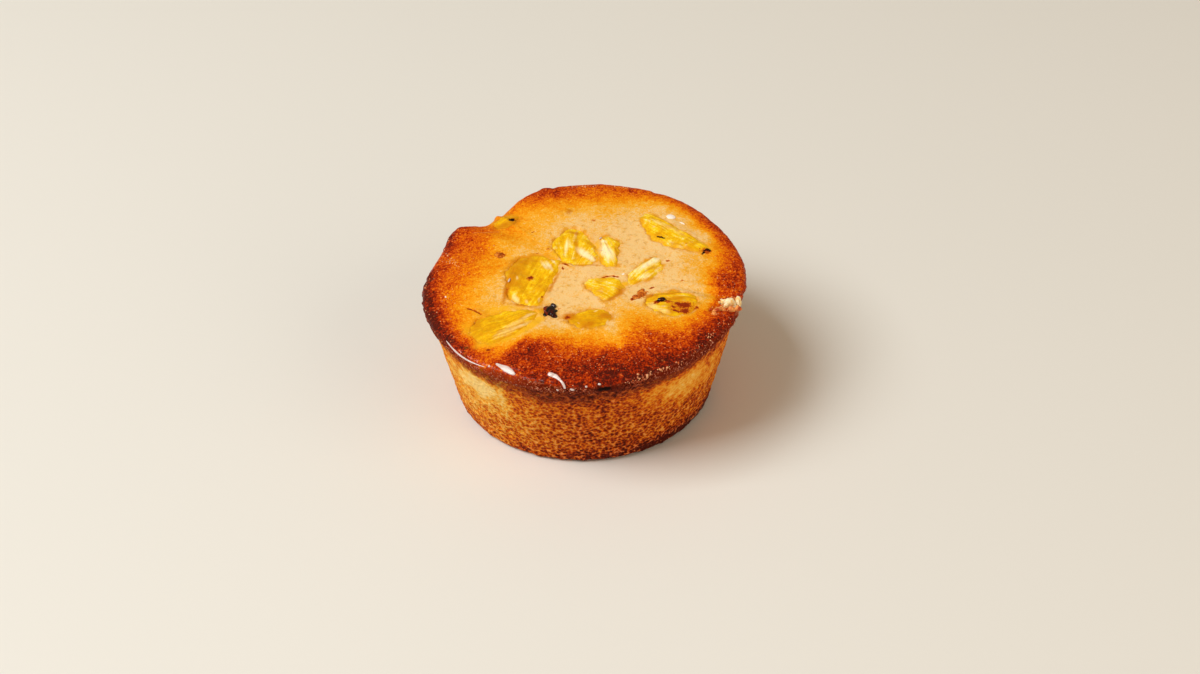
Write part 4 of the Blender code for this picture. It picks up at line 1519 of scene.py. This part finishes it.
@dataclass
class FruitPiece:
    """One piece of pineapple: a fibrous skin over straight sides, down to its flat underside."""

    number: int
    wedge: Wedge
    outline: Outline
    form: TartForm
    material: bpy.types.Material
    cells: int = 60
    side_rows: int = 5
    # How much of the wedge's lift and crown shows above the batter that clings to it.
    showing: float = 0.5
    # The skin turns down at its edge from this share of the outline, by this much.
    rounding_start: float = 0.7
    rounding_drop: float = 0.5
    # Its coarse and fine fibres: (width, length, height).
    fibres: tuple = ((0.85, 8.0, 0.15), (0.4, 5.0, 0.06))
    # Folds and hollows of the softened flesh: (height, wave).
    folds: tuple = ((0.3, 3.6), (0.16, 1.3))

    def fibre_place(self, point: Vector) -> tuple[float, float]:
        """A point's places along the fibres and across them.

        Args:
            point: The point.

        Returns:
            How far along and how far across, in millimetres.
        """
        along, across = turned(*(point - self.outline.middle), self.wedge.heading)
        if self.wedge.fan:
            reach = along + self.wedge.fan
            return math.hypot(reach, across) - self.wedge.fan, math.atan2(across, reach) * self.wedge.fan
        return along, across

    def skin(self, point: Vector, share: float) -> float:
        """The height of the piece's skin over a point at a share of its outline."""
        _, across = turned(*(point - self.outline.middle), self.wedge.heading)
        rise = self.wedge.lift + self.wedge.crown * (1.0 - share**2)
        rise += self.wedge.ridge * bell(across, self.wedge.spread)
        edge = max(share - self.rounding_start, 0.0) / (1.0 - self.rounding_start)
        return self.form.top(*point) + self.showing * rise - self.rounding_drop * edge**2

    def build(self) -> bpy.types.Object:
        """Models the piece and dresses it.

        Returns:
            The piece.
        """
        bm = bmesh.new()
        bmesh.ops.create_grid(bm, x_segments=self.cells, y_segments=self.cells, size=1.0)
        names = ("along", "across", "edge", "paleness", *(tint.value for tint in Tint))
        layers = {name: bm.verts.layers.float.new(name) for name in names}
        seed = 3.0 * self.number
        for corner in bm.verts:
            x, y = in_disc(corner)
            share = min(math.hypot(x, y), 1.0)
            rim_point = self.outline.at(math.atan2(y, x) / math.tau)
            point = self.outline.middle.lerp(rim_point, share)
            along, across = self.fibre_place(point)
            relief = smooth_step(1.0, 0.85, share) * sum(
                height * noise.noise(Vector((across / width, along / length, seed + 9.0 * k)))
                for k, (width, length, height) in enumerate(self.fibres)
            )
            folds = sum(height * ripple(Vector((*point, seed)), wave) for height, wave in self.folds)
            relief += folds * smooth_step(1.0, 0.7, share)
            corner[layers["along"]] = along + 50.0 * self.number
            corner[layers["across"]] = across
            corner[layers["paleness"]] = self.wedge.paleness
            patchy = 0.6 + 0.9 * ripple(Vector((*point, 0.0)), 2.8, 12.5)
            corner[layers["edge"]] = patchy * smooth_step(1.6, 0.3, -self.outline.outside(point))
            for tint, strength in tints_at(*point).items():
                corner[layers[tint.value]] = strength
            corner.co = (*point, self.skin(point, share) + relief)
        floor = self.form.top(*self.outline.middle) - self.wedge.depth
        ring = [edge for edge in bm.edges if edge.is_boundary]
        for row in range(self.side_rows):
            share = (row + 1) / self.side_rows
            ring = extended(
                bm, ring, lambda corner: Vector((*corner.co.xy, mixed(corner.co.z, floor, share**2)))
            )
        item = finished_object(bm, f"pineapple_flesh_{self.number}", self.material)
        return registered(item, FRUIT_SLOT, f"pineapple_{self.number}")


@dataclass(frozen=True)
class Lump:
    """A burnt drip, flake or crumb: its place, its size and its heading."""

    x: float
    y: float
    length: float
    width: float
    height: float
    heading: float


def add_lump(
    bm: bmesh.types.BMesh, lump: Lump, bed: float, roughness: float, subdivisions: int = 3, waves: float = 2.2
) -> None:
    """Adds a craggy lump to a shape, half of it sunk below its bed.

    Args:
        bm: The shape.
        lump: The lump's place and size.
        bed: The height that it lies on.
        roughness: How far its surface is moved, as a share of its size.
        subdivisions: The fineness of its mesh.
        waves: How fast that changes over it.
    """
    corners = bmesh.ops.create_icosphere(bm, subdivisions=subdivisions, radius=0.5)["verts"]
    seat = Vector((lump.x, lump.y, 0.0))
    for corner in corners:
        coarse = noise.noise(corner.co * waves + seat)
        fine = noise.noise(corner.co * waves * 3.0 + seat)
        corner.co *= 1.0 + roughness * (coarse + 0.35 * fine)
    size = Matrix.Diagonal((lump.length, lump.width, 2.0 * lump.height, 1.0))
    turn = Matrix.Rotation(math.radians(lump.heading), 4, "Z")
    place = Matrix.Translation((lump.x, lump.y, bed))
    bmesh.ops.transform(bm, matrix=place @ turn @ size, verts=corners)


@dataclass
class Toppings:
    """What lies on the top: burnt caramel, toasted flakes, and crumbs in the cracked rim."""

    form: TartForm
    caramel: tuple = each(
        Lump,
        (-8.2, -14.9, 4.8, 2.6, 0.9, 98.0), (-7.6, -12.9, 2.0, 1.5, 0.9, 110.0),
        (-7.4, -16.8, 1.8, 1.5, 0.7, 110.0), (-9.8, -16.4, 1.5, 0.9, 0.4, 110.0),
        (-6.9, -14.8, 0.8, 0.7, 0.4, 20.0),
    )
    caramel_edge: tuple = each(
        Lump, (-9.4, -13.7, 2.6, 1.7, 0.35, 80.0), (-9.4, -15.6, 2.0, 1.4, 0.35, 100.0),
    )
    flakes: tuple = each(
        Lump,
        (-22.0, 10.1, 2.8, 2.2, 0.18, -20.0), (14.2, -10.0, 2.6, 1.7, 0.18, 35.0),
        (15.6, -8.8, 3.0, 2.2, 0.22, 60.0),
    )
    char: tuple = (Lump(20.4, -12.1, 2.0, 1.3, 0.3, 5.0),)
    crumbs: tuple = each(
        Lump,
        (38.0, -12.9, 3.2, 2.4, 1.6, 30.0), (40.4, -11.4, 2.9, 1.6, 1.9, 80.0),
        (36.5, -12.5, 1.8, 1.5, 1.0, 10.0), (37.2, -13.9, 1.8, 1.3, 1.0, 25.0),
    )
    crust_crumbs: tuple = each(
        Lump,
        (34.8, -15.6, 2.6, 1.9, 0.7, 40.0), (33.8, -17.4, 1.7, 0.8, 0.5, -35.0),
        (40.1, -14.9, 1.7, 1.5, 0.7, -30.0), (38.4, -15.2, 2.2, 1.6, 0.8, 20.0),
        (36.3, -15.4, 1.6, 1.2, 0.6, -50.0), (39.2, -10.4, 1.6, 1.2, 0.8, 60.0),
    )
    # Painted glints: beads of white syrup where light glints off the wet crust and fruit.
    glints: tuple = each(
        Lump,
        (24.0, 24.1, 2.6, 2.2, 0.25, -40.0), (27.0, 21.4, 2.0, 0.5, 0.15, -35.0),
        (10.8, -0.8, 1.0, 0.9, 0.2, 40.0), (-35.9, -6.3, 0.5, 0.5, 0.3, 0.0),
    )
    fruit_glints: tuple = each(
        Lump,
        (4.9, 14.7, 1.2, 0.5, 0.2, 50.0), (-19.3, -1.8, 1.8, 0.45, 0.2, 75.0),
        (6.4, 9.5, 1.3, 0.8, 0.15, -50.0), (7.6, 7.7, 1.0, 0.5, 0.15, -60.0),
    )
    fruit_rise: float = 0.45
    # Small crumbs: their size, and how far they are strewn.
    crumb_size: tuple = (0.4, 1.0)
    strewn: float = 0.9

    def bed(self, lump: Lump) -> float:
        """The height of the cake's top under a lump."""
        return self.form.top(lump.x, lump.y)

    def piece(
        self, name: str, lumps: Sequence[Lump], material: bpy.types.Material, slot: str,
        rise: float = 0.0, roughness: float = 0.3, small: int = 0,
    ) -> None:
        """Models some lumps as one piece.

        Args:
            name: The piece's name.
            lumps: The lumps.
            material: Their finish.
            slot: The record's material slot.
            rise: How far above the cake's top they lie.
            roughness: How uneven they are.
            small: How many small crumbs are strewn among them.
        """
        draw = random.Random(7)
        bm = bmesh.new()
        for lump in lumps:
            add_lump(bm, lump, self.bed(lump) + rise, roughness)
        for _ in range(small):
            near = draw.choice(lumps)
            size = draw.uniform(*self.crumb_size)
            x, y = near.x + draw.gauss(0.0, self.strewn), near.y + draw.gauss(0.0, self.strewn)
            crumb = Lump(x, y, size, size * draw.uniform(0.6, 1.0), size * 0.5, draw.uniform(0.0, 180.0))
            if math.hypot(x, y) < self.form.rim(math.degrees(math.atan2(y, x))) - 0.6:
                add_lump(bm, crumb, self.bed(crumb) + 0.3 * size, 0.5, subdivisions=2)
        registered(finished_object(bm, name, material), slot)

    def build(self) -> None:
        """Models everything that lies on the top."""
        black, toasted, highlight_grey = BurntCaramel().material(), ToastedFlake().material(), PaintedHighlightSyrup().material()
        crust = PaleCrumb("toasted_cake_crumb", ("#f0a050", "#b03c08")).material()
        amber = BurntCaramel("thin_burnt_syrup", ("#6a1602", "#b04a08")).material()
        # The glints and drips are painted white and greyish white as highlights of light on wet syrup.
        bright = PaintedHighlightSyrup("painted_glint_syrup", ("#fffaf2", "#f6e6d6")).material()
        self.piece("burnt_caramel", self.caramel, black, CRUMB_SLOT)
        self.piece("caramel_edge", self.caramel_edge, amber, CRUMB_SLOT)
        self.piece("burnt_fruit", self.char, black, FRUIT_SLOT, rise=self.fruit_rise)
        self.piece("toasted_flakes", self.flakes, toasted, CRUMB_SLOT, roughness=1.0)
        self.piece("rim_crumbs", self.crumbs, PaleCrumb().material(), CRUMB_SLOT, roughness=0.25, small=8)
        self.piece("crust_crumbs", self.crust_crumbs, crust, CRUMB_SLOT, roughness=0.5, small=16)
        self.piece("painted_glints", self.glints, bright, CRUMB_SLOT)
        self.piece("painted_fruit_glints", self.fruit_glints, highlight_grey, FRUIT_SLOT, rise=self.fruit_rise)


@dataclass(frozen=True)
class SugarCluster:
    """Grains of sugar round one place of the rim: its azimuth and run from the crest, and their spread."""

    azimuth: float
    run: float
    grains: int
    turn: float = 1.2
    spread: float = 0.7
    largest: float = 0.45


@dataclass
class RimSugar:
    """Grains of sugar stuck in the syrup along the rim and baked into the crust."""

    form: TartForm
    finish: SugarGrain
    smallest: float = 0.18
    # The deepest run at which a grain still lies on the lip's face.
    last_run: float = 6.2
    clusters: tuple = each(
        SugarCluster,
        (161.5, 0.3, 14, 1.2, 0.7, 0.55), (166.0, -1.8, 16, 1.2, 0.7, 0.55), (168.5, -3.6, 12),
        (150.0, 0.8, 8, 3.0), (183.0, 1.5, 16, 9.0, 1.2), (235.0, 4.2, 60, 12.0, 1.2, 0.35),
        (254.0, 4.0, 40, 7.0, 1.2, 0.35), (286.0, 2.6, 8, 1.6, 0.4), (291.5, 2.3, 20, 1.6, 0.5, 0.85),
        (298.0, 2.0, 14, 2.0, 0.4, 0.75), (306.0, 2.0, 10, 2.4, 0.4, 0.5), (314.5, 1.4, 18, 2.6, 0.6, 0.4),
        (322.0, 0.8, 14, 1.2, 0.5, 0.5), (331.0, 0.6, 16, 3.0, 0.8, 0.4), (88.0, 0.2, 24, 3.0, 0.3, 0.5),
        (73.0, 0.3, 16, 2.4, 0.3, 0.5), (348.0, 0.5, 10, 5.0, 1.2),
        # Single grains baked into the browned crust, whose pale colour stands in part for small glints of
        # light on it.
        (185.0, -6.0, 50, 18.0, 4.0, 0.36), (215.0, -3.5, 24, 9.0, 2.0, 0.36),
        (262.0, -5.5, 80, 12.0, 3.2, 0.36), (300.0, -5.5, 50, 10.0, 3.0, 0.36),
        (352.0, -4.5, 24, 9.0, 2.0, 0.36),
    )

    def build(self) -> bpy.types.Object:
        """Models the grains as one piece.

        Returns:
            The piece.
        """
        draw = random.Random(11)
        bm = bmesh.new()
        for cluster in self.clusters:
            for _ in range(cluster.grains):
                azimuth = draw.gauss(cluster.azimuth, cluster.turn)
                run = min(draw.gauss(cluster.run, cluster.spread), self.last_run)
                size = draw.uniform(self.smallest, cluster.largest)
                grain = bmesh.ops.create_icosphere(bm, subdivisions=1, radius=size / 2.0)["verts"]
                stretch = (draw.uniform(0.7, 1.3), draw.uniform(0.7, 1.3), draw.uniform(0.6, 1.0), 1.0)
                turn = draw.uniform(0.0, math.pi)
                axis = Vector((draw.random(), draw.random(), 0.3))
                place = Matrix.Translation(self.form.near_rim(azimuth, run)) @ Matrix.Rotation(turn, 4, axis)
                bmesh.ops.transform(bm, matrix=place @ Matrix.Diagonal(stretch), verts=grain)
        return registered(finished_object(bm, "rim_sugar", self.finish.material()), CRUMB_SLOT)


@dataclass(frozen=True)
class Drip:
    """A thick drip of syrup on the rim.

    Its path holds places as (azimuth, how far out from the crest). Its start is a share of its width.
    """

    path: tuple
    width: float
    height: float
    start: float = 1.0


@dataclass
class RimSyrup:
    """Syrup that ran together along the rim at the front left and set there, painted greyish white as its
    highlights.
    """

    form: TartForm
    finish: PaintedHighlightSyrup
    drips: tuple = each(
        Drip,
        (((213.0, 1.9), (219.0, 2.3), (226.0, 2.5), (233.5, 2.1)), 0.5, 0.25),
        (((234.7, 1.4), (235.5, 1.5)), 0.7, 0.25),
        (((236.6, 0.4), (239.4, 0.6), (242.5, 0.8), (245.6, 1.3)), 1.8, 0.35, 0.55),
        (((257.0, -0.3), (259.5, 0.1), (262.0, 1.0)), 1.6, 0.3, 0.8),
        (((261.0, 0.5), (262.8, 1.6), (263.6, 2.6), (264.0, 3.8)), 0.8, 0.3),
        (((260.8, 3.6), (261.6, 3.8)), 0.7, 0.25), (((265.5, 3.3), (267.0, 3.4)), 0.7, 0.25),
        (((270.6, 2.5), (271.4, 2.5)), 0.6, 0.25), (((275.0, 2.0), (276.0, 2.2)), 0.6, 0.25),
    )
    # The drips' flat tops face this way.
    facing: tuple = (-0.33, -0.55, 0.76)
    flatness: float = 4.0

    def build(self) -> bpy.types.Object:
        """Models the drips as one piece of flat rounded beads that run together.

        Returns:
            The piece.
        """
        bm = bmesh.new()
        for drip in self.drips:
            self.add_drip(bm, drip)
        return registered(finished_object(bm, "rim_syrup_painted_highlights", self.finish.material()), CRUMB_SLOT)

    def add_drip(self, bm: bmesh.types.BMesh, drip: Drip) -> None:
        """Adds a drip: a round bead drawn out along its path.

        Args:
            bm: The shape.
            drip: The drip.
        """
        corners = bmesh.ops.create_uvsphere(bm, u_segments=24, v_segments=24, radius=1.0)["verts"]
        for corner in corners:
            # The ball's Z runs along the drip's path, and its ends keep the bead's own round form.
            share = 0.5 + 0.5 * corner.co.z
            azimuth, run = curve_point(drip.path, share, closed=False)
            behind, seat, ahead = (
                self.form.near_rim(*curve_point(drip.path, min(max(share + step, 0.0), 1.0), closed=False))
                for step in (-0.05, 0.0, 0.05)
            )
            along = (ahead - behind).normalized()
            down = self.form.near_rim(azimuth, run + 0.4) - self.form.near_rim(azimuth, run - 0.4)
            up = Vector((-math.sin(math.radians(azimuth)), math.cos(math.radians(azimuth)), 0.0)).cross(down)
            up = -up.normalized() if up.z < 0.0 else up.normalized()
            up = (0.4 * up + 0.6 * Vector(self.facing)).normalized()
            aside = up.cross(along).normalized()
            swell = 0.9 + 0.4 * ripple(seat, 1.2, 53.0)
            turn = math.atan2(corner.co.y, corner.co.x)
            flattened = abs(math.cos(turn)) ** self.flatness + abs(math.sin(turn)) ** self.flatness
            squared = flattened ** (-1.0 / self.flatness)
            swell *= mixed(drip.start, 1.0, smooth_step(0.2, 0.6, share))
            sideways = corner.co.x * squared * drip.width * 0.5 * swell
            corner.co = seat + aside * sideways + up * corner.co.y * squared * drip.height


# ---- The studio ----


@dataclass(frozen=True)
class SoftLamp:
    """A square soft box that faces the tart."""

    name: str
    direction: tuple
    distance: float
    size: float
    power: float
    colour: str


@dataclass
class Studio:
    """A plain pale floor, soft light and the camera."""

    floor_size: float = 6.0
    floor_colour: str = "#dedfdb"
    sky_colour: str = "#ffe6c4"
    sky_strength: float = 0.32
    lamps: tuple = (
        SoftLamp("key", (-0.6, -0.2, 0.77), 1.5, 0.83, 21.5, "#fdfdfb"),
        SoftLamp("fill", (0.8, -0.5, 0.42), 1.2, 1.0, 5.0, "#ffe8d0"),
    )
    target: tuple = (0.0, 0.0, 0.02)
    # The camera: its place in metres, the angle it looks down at, and its slight roll.
    camera_place: tuple = (0.00395, -0.4993, 0.3951)
    look_down: float = 37.3
    roll: float = -0.8
    lens: float = 70.0
    sensor: float = 36.0

    def build(self) -> None:
        """Makes the floor, the light and the camera."""
        self.build_floor()
        self.build_light()
        self.build_camera()
        bpy.context.scene.view_settings.view_transform = "Standard"

    def build_floor(self) -> None:
        """Makes a plain matt floor."""
        s = NodeSketch("matt_paper")
        clouds = s.add("TexNoise", {"Vector": s.where, "Scale": 3.0, "Detail": 2.0})
        colour = s.stained(light(self.floor_colour), "#e3e3df", clouds)
        s.feed(s.shader, {"Base Color": colour, "Roughness": 0.7})
        bm = bmesh.new()
        bmesh.ops.create_grid(bm, x_segments=1, y_segments=1, size=self.floor_size / 2.0)
        mesh = bpy.data.meshes.new("floor")
        bm.to_mesh(mesh)
        bm.free()
        mesh.materials.append(s.material)
        floor = bpy.data.objects.new("floor", mesh)
        bpy.context.scene.collection.objects.link(floor)

    def build_light(self) -> None:
        """Makes the sky and the soft boxes."""
        world = bpy.data.worlds.new("studio")
        world.use_nodes = True
        sky = world.node_tree.nodes["Background"]
        sky.inputs["Color"].default_value = light(self.sky_colour)
        sky.inputs["Strength"].default_value = self.sky_strength
        bpy.context.scene.world = world
        for lamp in self.lamps:
            data = bpy.data.lights.new(lamp.name, "AREA")
            data.shape = "SQUARE"
            data.size = lamp.size
            data.energy = lamp.power
            data.color = light(lamp.colour)[:3]
            item = bpy.data.objects.new(lamp.name, data)
            direction = Vector(lamp.direction).normalized()
            turn = direction.to_track_quat("Z", "Y").to_matrix().to_4x4()
            item.matrix_world = Matrix.Translation(Vector(self.target) + direction * lamp.distance) @ turn
            bpy.context.scene.collection.objects.link(item)

    def build_camera(self) -> None:
        """Makes the camera at the photograph's angle."""
        data = bpy.data.cameras.new("camera")
        data.lens = self.lens
        data.sensor_width = self.sensor
        item = bpy.data.objects.new("camera", data)
        tilt = Matrix.Rotation(math.radians(90.0 - self.look_down), 4, "X")
        roll = Matrix.Rotation(math.radians(self.roll), 4, "Z")
        item.matrix_world = Matrix.Translation(self.camera_place) @ tilt @ roll
        bpy.context.scene.collection.objects.link(item)
        bpy.context.scene.camera = item


def main() -> None:
    """Builds the studio and then the tart, piece by piece."""
    logging.basicConfig(level=logging.INFO, format="%(name)s: %(message)s")
    Studio().build()
    Crust(FORM, BrownedCrust()).build()
    CrumbSide(FORM, OpenCrumb()).build()
    flesh = PineappleFlesh().material()
    for number, (wedge, outline) in enumerate(zip(WEDGES, OUTLINES), start=1):
        FruitPiece(number, wedge, outline, FORM, flesh).build()
    Toppings(FORM).build()
    RimSugar(FORM, SugarGrain()).build()
    RimSyrup(FORM, PaintedHighlightSyrup()).build()


if __name__ == "__main__":
    main()
